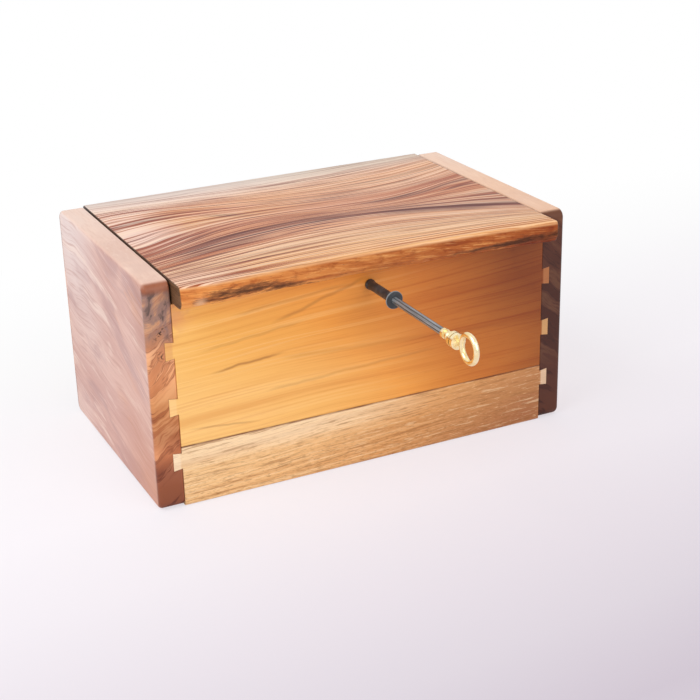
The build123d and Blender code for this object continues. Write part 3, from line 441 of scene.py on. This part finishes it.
def upper_board_wood(name, seed):
    """Golden wood that turns orange brown towards its right end and its top, partly its own tone
    and partly painted shade, paler low on the left, with a few thin dark veins.
    """
    material, x, y, z = start(name)
    sway = cloud(x * 0.006, z * 0.012, seed, detail=1.0) * 12.0
    climb = z.ease(60.0, 105.0) * 0.05 + 0.012
    rings = z - x * climb + sway
    lines = cloud(x * 0.002, rings * 0.13, seed + 2.0, detail=3.0, rough=0.6)
    fine = cloud(x * 0.005, rings * 0.55, seed + 8.0, detail=3.0, rough=0.6)
    fibres = cloud(x * 0.025, rings * 1.5, y * 1.5 + seed, detail=2.0, rough=0.6)
    pores = cloud(x * 0.10, z * 2.4, y * 2.4 + seed, detail=1.0)
    shade = cloud(x * 0.008, z * 0.02, seed + 5.0, detail=2.0)
    # gold on the left to deep orange brown at the right and the top: partly the wood's own tone,
    # partly painted shade of the lid's overhang and of a hand above the key
    along = x + (z - 60.0) * 0.75 + (shade - 0.5) * 60.0
    golds_into_painted_shade = ((0.0, "F6C675"), (0.25, "F6B65A"), (0.5, "EE9D41"), (0.72, "C8752C"), (1.0, "8A4617"))
    colour = ramp(along.spread(-118.0, 128.0), golds_into_painted_shade)
    # paler low on the left: partly the wood, partly painted light
    low_left_paler_and_lit = z.ease(92.0, 50.0) * x.ease(60.0, -90.0)
    colour = tint(low_left_paler_and_lit * 0.55, colour, paint("FDC97E"))
    right_share = x.ease(10.0, 90.0) * 0.6 + 0.5
    colour = darken(lines.ease(0.48, 0.7) * 0.4, colour, paint("DDB07C"))
    colour = tint(lines.near(0.43, 0.06) * x.ease(60.0, -70.0) * 0.35, colour, paint("FFCE86"))
    colour = darken(fine.ease(0.52, 0.7) * right_share * 0.45, colour, paint("D6A066"))
    colour = darken(fibres.ease(0.5, 0.74) * right_share * 0.35, colour, paint("D9A66C"))
    colour = darken(pores.ease(0.62, 0.8) * right_share * 0.3, colour, paint("C58A5A"))
    # single dark veins: where each starts and ends, its height at both ends, and its width
    veins = (
        (-54.0, -2.0, 96.0, 110.5, 1.8, 0.35),
        (-76.0, -12.0, 104.0, 109.0, 1.8, 0.25),
        (-96.0, -40.0, 87.0, 93.0, 1.5, 0.22),
        (-90.0, -54.0, 74.0, 77.0, 1.3, 0.6),
        (-60.0, 40.0, 57.5, 60.5, 1.5, 0.22),
        (-104.0, -70.0, 43.5, 40.5, 1.0, 0.35),
        (-50.0, 90.0, 74.0, 66.0, 2.4, 0.16),
    )
    for from_x, to_x, from_z, to_z, width, weight in veins:
        slope = (to_z - from_z) / (to_x - from_x)
        wobble = (cloud(x * 0.06, from_z, seed, detail=2.0) - 0.5) * 3.0
        offset = z - from_z - (x - from_x) * slope + wobble
        ends = x.ease(from_x - 6.0, from_x + 8.0) * x.ease(to_x + 6.0, to_x - 8.0)
        colour = tint(offset.near(0.0, width) * ends * weight, colour, paint("8F4F22"))
    # a pinkish curl at the upper corners, where the board came from beside a branch
    curl = cloud(x * 0.07 + z * 0.03, z * 0.09 - x * 0.05, seed + 1.0, detail=3.0).ease(0.44, 0.6)
    corner = (z * 0.9 - x).ease(192.0, 212.0) * curl
    colour = tint(corner * 0.55, colour, paint("D38A66"))
    tail = abs(x).ease(inner_side + tail_start, inner_side + tail_full)
    colour = tint(tail * z.ease(80.0, 72.0) * 0.4, colour, paint("FFD596"))
    colour = tint(tail * z.ease(72.0, 80.0) * 0.4, colour, paint("D99560"))
    colour = seam_shade(x, z, colour)
    rough = fibres * 0.12 + 0.36
    height = fibres * 0.6 + pores * 0.4
    return surface(material, colour, rough, height, 0.00007, **satin)


def lower_board_wood(name, seed):
    """Paler wood, flecked towards its foot."""
    material, x, y, z = start(name)
    sway = cloud(x * 0.006, z * 0.012, seed, detail=1.0) * 8.0
    rings = z - x * 0.03 + sway
    lines = cloud(x * 0.003, rings * 0.22, seed + 2.0, detail=3.0, rough=0.62)
    fibres = cloud(x * 0.04, rings * 1.5, y * 1.5 + seed, detail=3.0, rough=0.65)
    flecks = cloud(x * 0.26, z * 1.3, y * 1.3 + seed, detail=3.0, rough=0.62)
    mixed = x - (z - 17.0) * 1.6
    tans = ((0.0, "F2C890"), (0.35, "F0BE82"), (0.6, "DEA163"), (1.0, "AC6E45"))
    colour = ramp(mixed.spread(-118.0, 118.0), tans)
    colour = tint(lines.ease(0.5, 0.64) * 0.45, colour, paint("C08650"))
    colour = tint(lines.near(0.44, 0.04) * x.ease(80.0, -20.0) * 0.4, colour, paint("FBDDB0"))
    colour = tint(z.ease(19.0, 29.0) * x.ease(60.0, -50.0) * 0.6, colour, paint("FFE6C0"))
    colour = tint(fibres.ease(0.5, 0.72) * 0.4, colour, paint("B47E4A"))
    toward_foot = z.ease(33.0, 6.0)
    streaks = cloud(x * 0.05, rings * 0.8, y + seed + 9.0, detail=3.0, rough=0.62)
    colour = tint(streaks.ease(0.54, 0.64) * 0.5, colour, paint("9A6434"))
    colour = tint(streaks.ease(0.42, 0.34) * 0.4, colour, paint("FBDFB4"))
    fleck_share = flecks.ease(0.52, 0.64) * (toward_foot * 0.6 + 0.15)
    colour = tint(fleck_share * 0.6, colour, paint("98612E"))
    colour = tint(flecks.ease(0.4, 0.3) * 0.4, colour, paint("F6D3A2"))
    tail = abs(x).ease(inner_side + tail_start, inner_side + tail_full)
    colour = tint(tail * 0.45, colour, paint("FFEBCB"))
    colour = seam_shade(x, z, colour)
    rough = fibres * 0.12 + 0.4
    height = fibres * 0.5 + flecks * 0.5
    return surface(material, colour, rough, height, 0.0001, **satin)


finish_node("front_upper_board", upper_board_wood("upper_board_wood", 0.0))
finish_node("back_upper_board", upper_board_wood("upper_board_wood_back", 40.0))
finish_node("front_lower_board", lower_board_wood("lower_board_wood", 0.0))
finish_node("back_lower_board", lower_board_wood("lower_board_wood_back", 40.0))

# ---- bottom and partition ----
# Plain boards that nobody sees from outside: the bottom lies in a rabbet and is screwed up into
# the walls, and a thin partition in two grooves keeps fingers out of the movement.


def plain_wood(name, light, dark, seed, upright=False):
    """Bare planed wood with its grain along x, for a board that lies flat or stands upright."""
    material, x, y, z = start(name)
    cross = z if upright else y
    warp = cloud(x * 0.01, cross * 0.02, seed, detail=2.0) * 14.0
    rings = cross + warp
    lines = cloud(x * 0.003, rings * 0.14, seed + 2.0, detail=5.0, rough=0.65)
    fibres = cloud(x * 0.04, y * 1.1, z * 1.1 + seed, detail=3.0, rough=0.65)
    colour = tint(lines.ease(0.38, 0.66), light, dark)
    colour = tint(fibres.ease(0.5, 0.75) * 0.4, colour, paint("A87B50"))
    return surface(material, colour, fibres * 0.15 + 0.45, fibres, 0.0001)


finish_node("bottom_panel", plain_wood("bottom_wood", paint("E2BC8C"), paint("CB9A66"), 60.0))
partition_colours = paint("DDB383"), paint("BD8A58")
partition_wood = plain_wood("partition_wood", *partition_colours, 70.0, upright=True)
finish_node("movement_partition", partition_wood)

# ---- felt ----
# Wine red wool felt glued over the bottom of the storage side, cut a little short of the walls.
felt, x, y, z = start("felt")
nap = cloud(x * 1.6, y * 1.6, z * 1.6, detail=4.0, rough=0.8)
patches = cloud(x * 0.03, y * 0.03, z, detail=2.0)
wool = tint(nap.ease(0.35, 0.7), paint("5E1C22"), paint("8C323A"))
wool = tint(patches.ease(0.4, 0.7) * 0.3, wool, paint("9A3D45"))
sheen = {"Sheen Weight": 0.5, "Sheen Roughness": 0.5, "Specular IOR Level": 0.15}
finish_node("storage_lining", surface(felt, wool, nap * 0.1 + 0.88, nap, 0.0003, **sheen))

# ---- lid ----
# One thick plank that keeps the tree's own edge along its front, sanded soft and oiled. Its back
# edge is rounded about two brass pins, and it closes down on the walls between the end panels.
lid_low, lid_high = [Vector(corner) * to_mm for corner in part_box("lid")]
pin_low, pin_high = [Vector(corner) * to_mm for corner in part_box("lid_hinge_pins")]
pivot_y = (pin_low.y + pin_high.y) / 2
pivot_z = (pin_low.z + pin_high.z) / 2
lid_points = np.array([v.co[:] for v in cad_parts["lid"].data.vertices]) * to_mm
least_overhang = 8.0
station_count = 57
front_points = lid_points[lid_points[:, 1] < case_front - least_overhang]
stations = np.linspace(lid_low.x, lid_high.x, station_count)
front_line = []
for station in stations:
    reach = 1.5 * (stations[1] - stations[0])
    beside = front_points[abs(front_points[:, 0] - station) < reach]
    front_line.append(beside[:, 1].min())
lid_columns = 420
face_rows = 30
foot_steps = 5  # under the live edge
arris_steps = 6
top_steps = 8
rear_steps = 13
arris_round = 1.7
end_round = 0.9
bark_top = 0.62  # of the edge's height
undercut_top = 0.34
crown_foot = 0.55
underside_run = 9.0  # from the live edge back to where the underside is flat
rear_part = 60.0  # in front of the pins: there the ends are drawn in only in height
rear_angle = radians(7.0)
rear_radius = pivot_z - lid_low.z


def rough_edge(x, share):
    """How far the live edge stands back, at a share of its height from the underside up."""
    bark = noise.fractal(Vector((x * 0.055, share * 1.9, 3.0)), 0.8, 2.2, 5)
    ripple = noise.fractal(Vector((x * 0.16, share * 5.0, 9.0)), 0.9, 2.0, 4)
    hollow = max(0.0, noise.noise(Vector((x * 0.03, share * 1.2, 17.0))))
    low = max(0.0, 1.0 - share / bark_top)
    undercut = 7.2 * max(0.0, undercut_top - share) ** 1.2
    left_slope = (2.0 + 1.8 * share) * max(0.0, min(1.0, (-92.0 - x) / 20.0))
    crown = 1.1 * max(0.0, share - crown_foot) ** 1.5 + left_slope
    hollows = low * (0.75 * bark + 0.9 * hollow)
    return max(0.0, 0.35 + crown + undercut + hollows + 0.22 * ripple)


def lid_section(x):
    """The outline of the plank at x, from under its back edge forwards and round over the top."""
    front = float(np.interp(x, stations, front_line))
    section = [(pivot_y, lid_low.z)]
    underside_end = front + underside_run
    for step in range(1, arris_steps + 1):
        section.append((pivot_y + (underside_end - pivot_y) * step / arris_steps, lid_low.z))
    low_edge = 0.9 + 0.8 * noise.noise(Vector((x * 0.045, 40.0, 0.0)))
    face_bottom = lid_low.z + max(0.15, low_edge)
    first = (front + rough_edge(x, 0.0), face_bottom)
    for step in range(1, foot_steps):
        turn = step / foot_steps * pi / 2
        back = first[0] + (underside_end - first[0]) * (1 - sin(turn))
        section.append((back, lid_low.z + (face_bottom - lid_low.z) * (1 - cos(turn))))
    face_top = lid_high.z - arris_round
    for step in range(face_rows + 1):
        share = step / face_rows
        height = face_bottom + (face_top - face_bottom) * share
        section.append((front + rough_edge(x, share), height))
    last = section[-1][0]
    for step in range(1, arris_steps + 1):
        turn = step / arris_steps * pi / 2
        section.append((last + arris_round * (1 - cos(turn)), face_top + arris_round * sin(turn)))
    top_back = pivot_y + (rear_radius - rear_radius * sin(rear_angle)) / cos(rear_angle)
    top_front = section[-1][0]
    for step in range(1, top_steps + 1):
        section.append((top_front + (top_back - top_front) * step / top_steps, lid_high.z))
    for step in range(rear_steps):
        turn = rear_angle - (rear_angle + pi / 2) * step / rear_steps
        section.append((pivot_y + rear_radius * cos(turn), pivot_z + rear_radius * sin(turn)))
    return section


def inset_section(section, depth):
    """The outline drawn in towards its middle by depth, for the rounded ends of the plank."""
    middle_z = (lid_low.z + lid_high.z) / 2
    drawn = []
    for y, z in section:
        y_in = depth if y < pivot_y - rear_part else 0.0
        z_in = depth * (z - middle_z) / (lid_high.z - middle_z)
        drawn.append((y + y_in, z - z_in))
    return drawn


def loft(name, rings):
    """A mesh skin over closed rings of points, in millimetres, capped at both ends."""
    count = len(rings[0])
    points = [tuple(c / to_mm for c in point) for ring in rings for point in ring]
    faces = []
    for ring in range(len(rings) - 1):
        for i in range(count):
            j = (i + 1) % count
            a, b = ring * count, (ring + 1) * count
            faces.append((a + i, a + j, b + j, b + i))
    faces.append(tuple(reversed(range(count))))
    faces.append(tuple(range((len(rings) - 1) * count, len(rings) * count)))
    mesh = bpy.data.meshes.new(name)
    mesh.from_pydata(points, [], faces)
    mesh.validate()
    mesh.polygons.foreach_set("use_smooth", [True] * len(mesh.polygons))
    made = bpy.data.objects.new(name, mesh)
    bpy.context.scene.collection.objects.link(made)
    return made


def end_rings(end_x, inwards):
    """The rings of one rounded end of the plank, from its end face inwards."""
    rings = []
    for turn in (0.0, pi / 6, pi / 3):
        edge_x = end_x + inwards * end_round * (1 - cos(turn))
        outline = inset_section(lid_section(edge_x), end_round * (1 - sin(turn)))
        rings.append([(edge_x, y, z) for y, z in outline])
    return rings


lid_rings = end_rings(lid_low.x, 1)
for column in np.linspace(lid_low.x + end_round, lid_high.x - end_round, lid_columns + 1):
    lid_rings.append([(column, y, z) for y, z in lid_section(column)])
lid_rings += reversed(end_rings(lid_high.x, -1))
lid_plank = loft("lid_plank", lid_rings)

material, x, y, z = start("lid_wood")
# Five guides run along the plank, each with its ring number and its course in units of 100 mm,
# the highest power first. Between two guides the rings are shared out evenly.
guides = (
    (-78.0, (-4.0, -0.6, -80.4)),
    (-24.0, (3.3, -2.4, -27.1, -2.7, -22.6)),
    (6.0, (-18.4, 0.9, 47.9, -6.2, -11.3, -6.4)),
    (37.0, (3.8, -4.9, 6.9, 17.4, -16.0, 23.9)),
    (78.0, (5.1, 3.2, 61.2)),
)


def course(along, powers):
    """The y of a guide at a distance along the plank."""
    height = along * powers[0]
    for power in powers[1:-1]:
        height = (height + power) * along
    return height + powers[-1]


courses = [course(x * 0.01, powers) for _, powers in guides]
rings = (y - courses[0]).least(0.0) + guides[0][0] + (y - courses[-1]).most(0.0)
for place in range(len(guides) - 1):
    near_y, far_y = courses[place], courses[place + 1]
    ring_step = guides[place + 1][0] - guides[place][0]
    rings = rings + ((y - near_y) / (far_y - near_y)).most(0.0).least(1.0) * ring_step
rings = rings + cloud(x * 0.018, y * 0.03, 5.0, detail=2.0) * 4.0 - 2.0

# dark late wood lines that follow the rings, uneven in their spacing and their strength
year = rings / 5.6 + (cloud(x * 0.005, rings * 0.11, 12.0, detail=2.0) - 0.5) * 3.4
crest = abs(year.maths("FRACT", year) - 0.5) * 2.0
strong = cloud(x * 0.009, rings * 0.24, 15.0, detail=2.0, rough=0.6).ease(0.36, 0.62)
wide_lines = crest.ease(0.68, 1.0) * strong
close_lines = cloud(x * 0.006, rings * 0.62, 31.0, detail=3.0, rough=0.7).ease(0.52, 0.61)
fine = cloud(x * 0.005, rings * 0.78, 8.0, detail=2.0, rough=0.6)
fibres = cloud(x * 0.05, rings * 1.8, z * 1.6, detail=2.0, rough=0.6)
blush = cloud(x * 0.014, y * 0.03, 21.0, detail=3.0, rough=0.55)
# the colour across the rings from the live edge to the back; the palest stops at the back are
# painted sheen
top = ramp(
    rings.spread(-80.0, 87.0),
    (
        (0.0, "F2BA80"),
        (0.146, "E8BA90"),
        (0.273, "E4AB84"),
        (0.35, "B87054"),
        (0.45, "D49068"),
        (0.503, "D28F6B"),
        (0.572, "DA9A78"),
        (0.69, "E8AC84"),
        (0.81, "F0BC94"),
        (0.9, "F6D8C0"),
        (1.0, "FFF0E0"),
    ),
)
amber = cloud(x * 0.018, rings * 0.06, 34.0, detail=2.0).ease(0.4, 0.58)
amber = amber * y.near(12.0, 46.0) * x.ease(40.0, -60.0)
top = tint(amber * 0.6, top, paint("D8954F"))
top = tint(blush.ease(0.5, 0.68) * 0.4, top, paint("B57A62"))
# pale wood at the left end and the front-left corner, and painted sheen toward the back on the left
pale_end = x.ease(-66.0, -104.0) * y.ease(-36.0, -4.0)
pale_corner = x.ease(-60.0, -100.0) * y.ease(-62.0, -76.0) * 0.5
painted_sheen_back = y.ease(34.0, 62.0) * x.ease(40.0, -70.0)
top = tint((pale_end + pale_corner + painted_sheen_back).least(1.0) * 0.65, top, paint("FFE6DA"))
top = tint(fine.ease(0.5, 0.36) * 0.6, top, paint("FBDFC2"))
# the lines fainter toward the back, washed out by painted sheen
lines_under_sheen = y.ease(74.0, 46.0) * 0.55 + 0.45
bolder = x.ease(10.0, -80.0) * 0.35 + 0.9
top = darken(fine.ease(0.5, 0.64) * lines_under_sheen * 0.8, top, paint("C27E50"))
top = darken(close_lines * lines_under_sheen * bolder * 0.8, top, paint("AE6A4A"))
paler_front = y.ease(-86.0, -60.0) * 0.5 + 0.5
top = darken(wide_lines * lines_under_sheen * paler_front * bolder, top, paint("8E402C"))
# more painted sheen along the back edge
painted_sheen_rim = y.ease(56.0, 72.0) * x.ease(50.0, -60.0)
top = tint(painted_sheen_rim * 0.6, top, paint("FFEADF"))
# the dark purplish rings: which ring, half its width, from and to where along the lid, and depth
dark_rings = (
    (-21.5, 1.5, -130.0, -70.0, 0.9),
    (-24.5, 2.6, -96.0, 6.0, 0.95),
    (-28.5, 1.6, -92.0, -30.0, 0.7),
    (-17.0, 8.0, -84.0, 14.0, 0.55),
    (-14.0, 7.0, -14.0, 56.0, 0.4),
    (-31.0, 5.5, -92.0, -44.0, 0.55),
    (-29.0, 5.0, 34.0, 92.0, 0.5),
    (-34.0, 1.6, -104.0, -56.0, 0.7),
    (-42.0, 2.0, -112.0, -66.0, 0.5),
    (-58.0, 1.5, -104.0, -26.0, 0.4),
    (-23.0, 4.6, -4.0, 60.0, 0.85),
    (-25.0, 3.6, 36.0, 92.0, 0.8),
    (-21.5, 3.4, 56.0, 130.0, 0.8),
    (-16.0, 2.4, 52.0, 130.0, 0.45),
    (-14.5, 2.0, -66.0, -10.0, 0.55),
    (5.0, 1.6, -130.0, -52.0, 0.9),
    (1.0, 1.3, -110.0, -70.0, 0.6),
    (8.5, 3.2, 34.0, 72.0, 0.8),
    (5.5, 2.2, 44.0, 130.0, 0.7),
    (3.0, 1.5, -44.0, 12.0, 0.5),
    (-4.0, 1.8, -22.0, 34.0, 0.45),
    (36.0, 2.0, -18.0, 84.0, 0.5),
    (47.0, 2.0, 46.0, 130.0, 0.4),
    (30.0, 1.6, -112.0, -74.0, 0.45),
)
for ring, half_width, from_x, to_x, weight in dark_rings:
    length = x.ease(from_x - 12.0, from_x + 12.0) * x.ease(to_x + 12.0, to_x - 12.0)
    threads = fine.ease(0.34, 0.58) * 0.5 + 0.6
    top = tint(rings.near(ring, half_width) * length * weight * threads, top, paint("5C2621"))
# where the rings close on themselves a dark fork points to the middle, with a thin tail behind it
fork_line = y - 7.5 + (x + 32.0) * 0.44
fork = fork_line.near(0.0, 5.5) * x.near(-46.0, 19.0) * (fine.ease(0.4, 0.6) * 0.7 + 0.3)
fork_tail = (y - 26.0 + (x + 80.0) * 0.08).near(0.0, 1.4) * x.near(-84.0, 26.0)
top = tint(fork * 0.85, top, paint("5E3034"))
top = tint(fork_tail * 0.6, top, paint("74423A"))

# the live edge: golden to orange brown, with what is left of the bark along its lower half
edge = tint(x.ease(-100.0, 60.0), paint("E2914A"), paint("B0602C"))
figure = cloud(x * 0.028, z * 0.26 + x * 0.012, 51.0, detail=4.0, rough=0.6)
curl = cloud(x * 0.16 + z * 0.05, z * 0.22, 57.0, detail=3.0, rough=0.6)
edge = darken(figure.ease(0.48, 0.66) * 0.6, edge, paint("C08A68"))
edge = tint(figure.near(0.42, 0.045) * 0.4, edge, paint("F0AC62"))
edge = darken(curl.ease(0.5, 0.7) * 0.5, edge, paint("B8805E"))
streaks = cloud(x * 0.06, z * 1.1 + x * 0.09, 71.0, detail=4.0, rough=0.65)
edge = darken(streaks.ease(0.5, 0.68) * 0.5, edge, paint("B5744C"))
edge = tint(streaks.ease(0.44, 0.32) * 0.45, edge, paint("F0B070"))
glow = z.ease(lid_low.z + 3.6, lid_low.z + 1.4) * x.ease(40.0, -60.0)
edge = tint(glow * 0.6, edge, paint("F0A85C"))
bark_field = cloud(x * 0.07, z * 0.42 - x * 0.012, 61.0, detail=6.0, rough=0.75)
streak_height = lid_low.z + 1.6 + x.near(-80.0, 46.0) * 3.6
left_bark = (z - streak_height).near(0.0, 5.2) * x.near(-72.0, 60.0) * 0.29
right_height = lid_low.z + 1.8 + x.ease(20.0, 115.0) * 3.0
right_bark = (z - right_height).near(0.0, 3.6) * x.ease(20.0, 90.0) * 0.32
patchy = cloud(x * 0.2, z * 0.9, 67.0, detail=3.0, rough=0.6) * 1.6 + 0.2
bark_field = bark_field + (left_bark + right_bark) * x.ease(-109.0, -103.0) * patchy
bark = bark_field.ease(0.56, 0.7)
edge = tint(bark * 0.8, edge, paint("7C4A2E"))
edge = tint(bark_field.ease(0.68, 0.84) * 0.75, edge, paint("43271A"))
knot = (x + 101.0).near(0.0, 5.0) * z.near(lid_low.z + 2.5, 4.5)
edge = tint(knot * 0.8, edge, paint("E2B48C"))
edge = darken(x.ease(66.0, 104.0) * 0.5, edge, paint("C08A70"))
# painted shade at the foot of the live edge toward the right end
painted_shade_right_foot = z.ease(lid_low.z + 3.8, lid_low.z + 1.0) * x.ease(56.0, 108.0)
edge = darken(painted_shade_right_foot * 0.6, edge, paint("A0705A"))
edge = tint(z.ease(lid_high.z - 2.4, lid_high.z - 0.8) * 0.8, edge, paint("E8AE78"))
# the rounded back edge shows long grain
rear = z.ease(lid_high.z - 0.4, lid_high.z - 2.2) * y.ease(pivot_y - 14.0, pivot_y - 1.0)
rear_grain = cloud(x * 0.004, z * 0.5, 77.0, detail=4.0, rough=0.6)
rear_wood = tint(rear_grain.ease(0.4, 0.62), paint("E2B08A"), paint("B87E5C"))
top = tint(rear, top, rear_wood)
on_face = z.ease(lid_high.z - 0.35, lid_high.z - 1.3) * y.ease(case_front - 4.0, case_front - 6.0)
colour = tint(on_face, top, edge)
at_end = abs(x).ease(lid_high.x - end_round, lid_high.x - 0.35)
arcs = cloud(y * 0.05, z * 0.9, x * 0.01, detail=4.0, rough=0.6)
end_grain = tint(arcs.ease(0.4, 0.65), paint("735238"), paint("4A3424"))
# painted shade on the part of each end face that lies in the narrow gap beside the end panel
end_grain = darken(y.ease(case_front - 2.0, case_front + 4.0) * 0.75, end_grain, paint("8A766C"))
colour = tint(at_end, colour, end_grain)
pores = cloud(x * 0.11, rings * 3.0, z * 2.6, detail=1.0)
rough = fine * 0.14 + 0.33 + bark * on_face * 0.25
height = fibres * 0.5 + pores * 0.3 - wide_lines * 0.4
dull = {"Specular IOR Level": 0.16}
lid_plank.data.materials.append(surface(material, colour, rough, height, 0.00009, **dull))
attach(lid_plank, "lid")
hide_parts("lid")


# ---- brass, steel and the other metals ----
# Turned brass is polished and lacquered, drawn steel keeps faint lengthwise lines, and stamped
# plates are tumbled dull. Parts with the same finish share one material.
def metal(name, light, dark, rough, streak, uneven=0.1, depth=0.00002):
    """Bare metal between two shades, with lines drawn out along one way."""
    material, x, y, z = start(name)
    smears = cloud(x * 0.12, y * 0.12, z * 0.12, detail=3.0, rough=0.6)
    lines = cloud(x * streak[0], y * streak[1], z * streak[2], detail=4.0, rough=0.65)
    colour = tint(smears.ease(0.35, 0.65), light, dark)
    colour = darken(lines.ease(0.5, 0.75) * 0.3, colour, paint("B8B4AC"))
    dullness = lines * uneven + smears * uneven + (rough - uneven)
    return surface(material, colour, dullness, lines, depth, Metallic=1.0)


along_y = (6.0, 0.08, 6.0)
along_x = (0.08, 6.0, 6.0)
any_way = (1.5, 1.5, 1.5)
brass = metal("brass", paint("FBEBC2"), paint("EFD8A2"), 0.24, any_way)
steel = metal("steel", paint("C9CCD0"), paint("AEB2B8"), 0.3, along_x)
spring_blue = metal("spring_steel", paint("39435C"), paint("232B3D"), 0.3, along_y)
screw_zinc = metal("screw_steel", paint("C4C5C2"), paint("9FA09C"), 0.32, any_way)
cast_zinc = metal("cast_plate", paint("C9C9C5"), paint("ADADA9"), 0.5, any_way, 0.15, 0.00008)
fly_tin = metal("fly_sheet", paint("DADCDD"), paint("BFC2C4"), 0.25, any_way)

finish_node("lid_hinge_pins", brass)
screws = ("bottom_screws", "bedplate_screws", "bracket_screws", "comb_screws", "governor_screws")
for node in screws:
    finish_node(node, screw_zinc)

# ---- winding barrel ----
# A turned steel tube, chemically blacked, with a thin flange outside and a hexagon socket right
# down its middle. The winding arbor is pressed into its inner end.
blacking, x, y, z = start("blackened_steel")
barrel_low, barrel_high = [Vector(corner) * to_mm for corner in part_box("winding_barrel")]
arbor_x = (barrel_low.x + barrel_high.x) / 2
arbor_z = (barrel_low.z + barrel_high.z) / 2
flange_radius = (barrel_high.x - barrel_low.x) / 2


def from_axis(x, z):
    """How far a point of the barrel or the key is from the middle of the arbor."""
    return ((x - arbor_x) ** 2.0 + (z - arbor_z) ** 2.0) ** 0.5


# a painted highlight round the outer edge of the flange
rim_highlight = from_axis(x, z).ease(flange_radius - 0.35, flange_radius - 0.1)
haze = cloud(x * 0.3, y * 0.3, z * 0.3, detail=3.0)
turning = cloud(x * 0.2, y * 5.0, z * 0.2, detail=3.0, rough=0.7)
black = tint(haze.ease(0.35, 0.7), paint("292C2F"), paint("3D4246"))
black = tint(turning.ease(0.6, 0.8) * 0.3, black, paint("5E656A"))
black = tint(rim_highlight * 0.6, black, paint("9BA1A4"))
finish_node("winding_barrel", surface(blacking, black, turning * 0.12 + 0.3, turning, 0.00002))
for node in ("winding_arbor", "ratchet_wheel", "click", "click_spring", "click_stud"):
    finish_node(node, steel)

# ---- key ----
# A hexagon shank of drawn steel with a turned brass bow: a ferrule, a bead, a double collar and
# a round ring for the fingers.
key_steel, x, y, z = start("key_steel")
shank_low, shank_high = [Vector(corner) * to_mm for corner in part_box("key_shank")]
half_flats = min(shank_high.x - shank_low.x, shank_high.z - shank_low.z) / 2
drawn = cloud(x * 2.4, y * 0.06, z * 2.4, detail=3.0, rough=0.6)
# the corners of the hexagon painted dark, as shade between its flats
painted_shade_at_corners = from_axis(x, z).ease(half_flats + 0.03, half_flats + 0.2)
grey = tint(drawn.ease(0.4, 0.62), paint("9FA5A9"), paint("767D83"))
grey = darken(painted_shade_at_corners * 0.85, grey, paint("565B60"))
surface(key_steel, grey, drawn * 0.1 + 0.34, drawn, 0.00002, Metallic=0.4)
finish_node("key_shank", key_steel)
finish_node("key_bow", brass)

# ---- movement ----
# A die-cast bedplate screwed to the front wall carries everything: the sprung housing, the pinned
# cylinder in its two brackets, the steel comb on its bar, and the governor with its fly.
movement_finishes = (
    (cast_zinc, ("bedplate", "comb_bar")),
    (brass, ("spring_housing", "housing_cover", "music_cylinder", "great_gear")),
    (brass, ("worm_wheel", "governor_frame")),
    (steel, ("cylinder_arbor", "drive_pinion", "governor_arbor", "worm", "comb")),
    (steel, ("stop_lever", "lever_post", "left_bracket", "right_bracket")),
    (spring_blue, ("mainspring",)),
    (fly_tin, ("fly",)),
)
for finish, nodes in movement_finishes:
    for node in nodes:
        finish_node(node, finish)
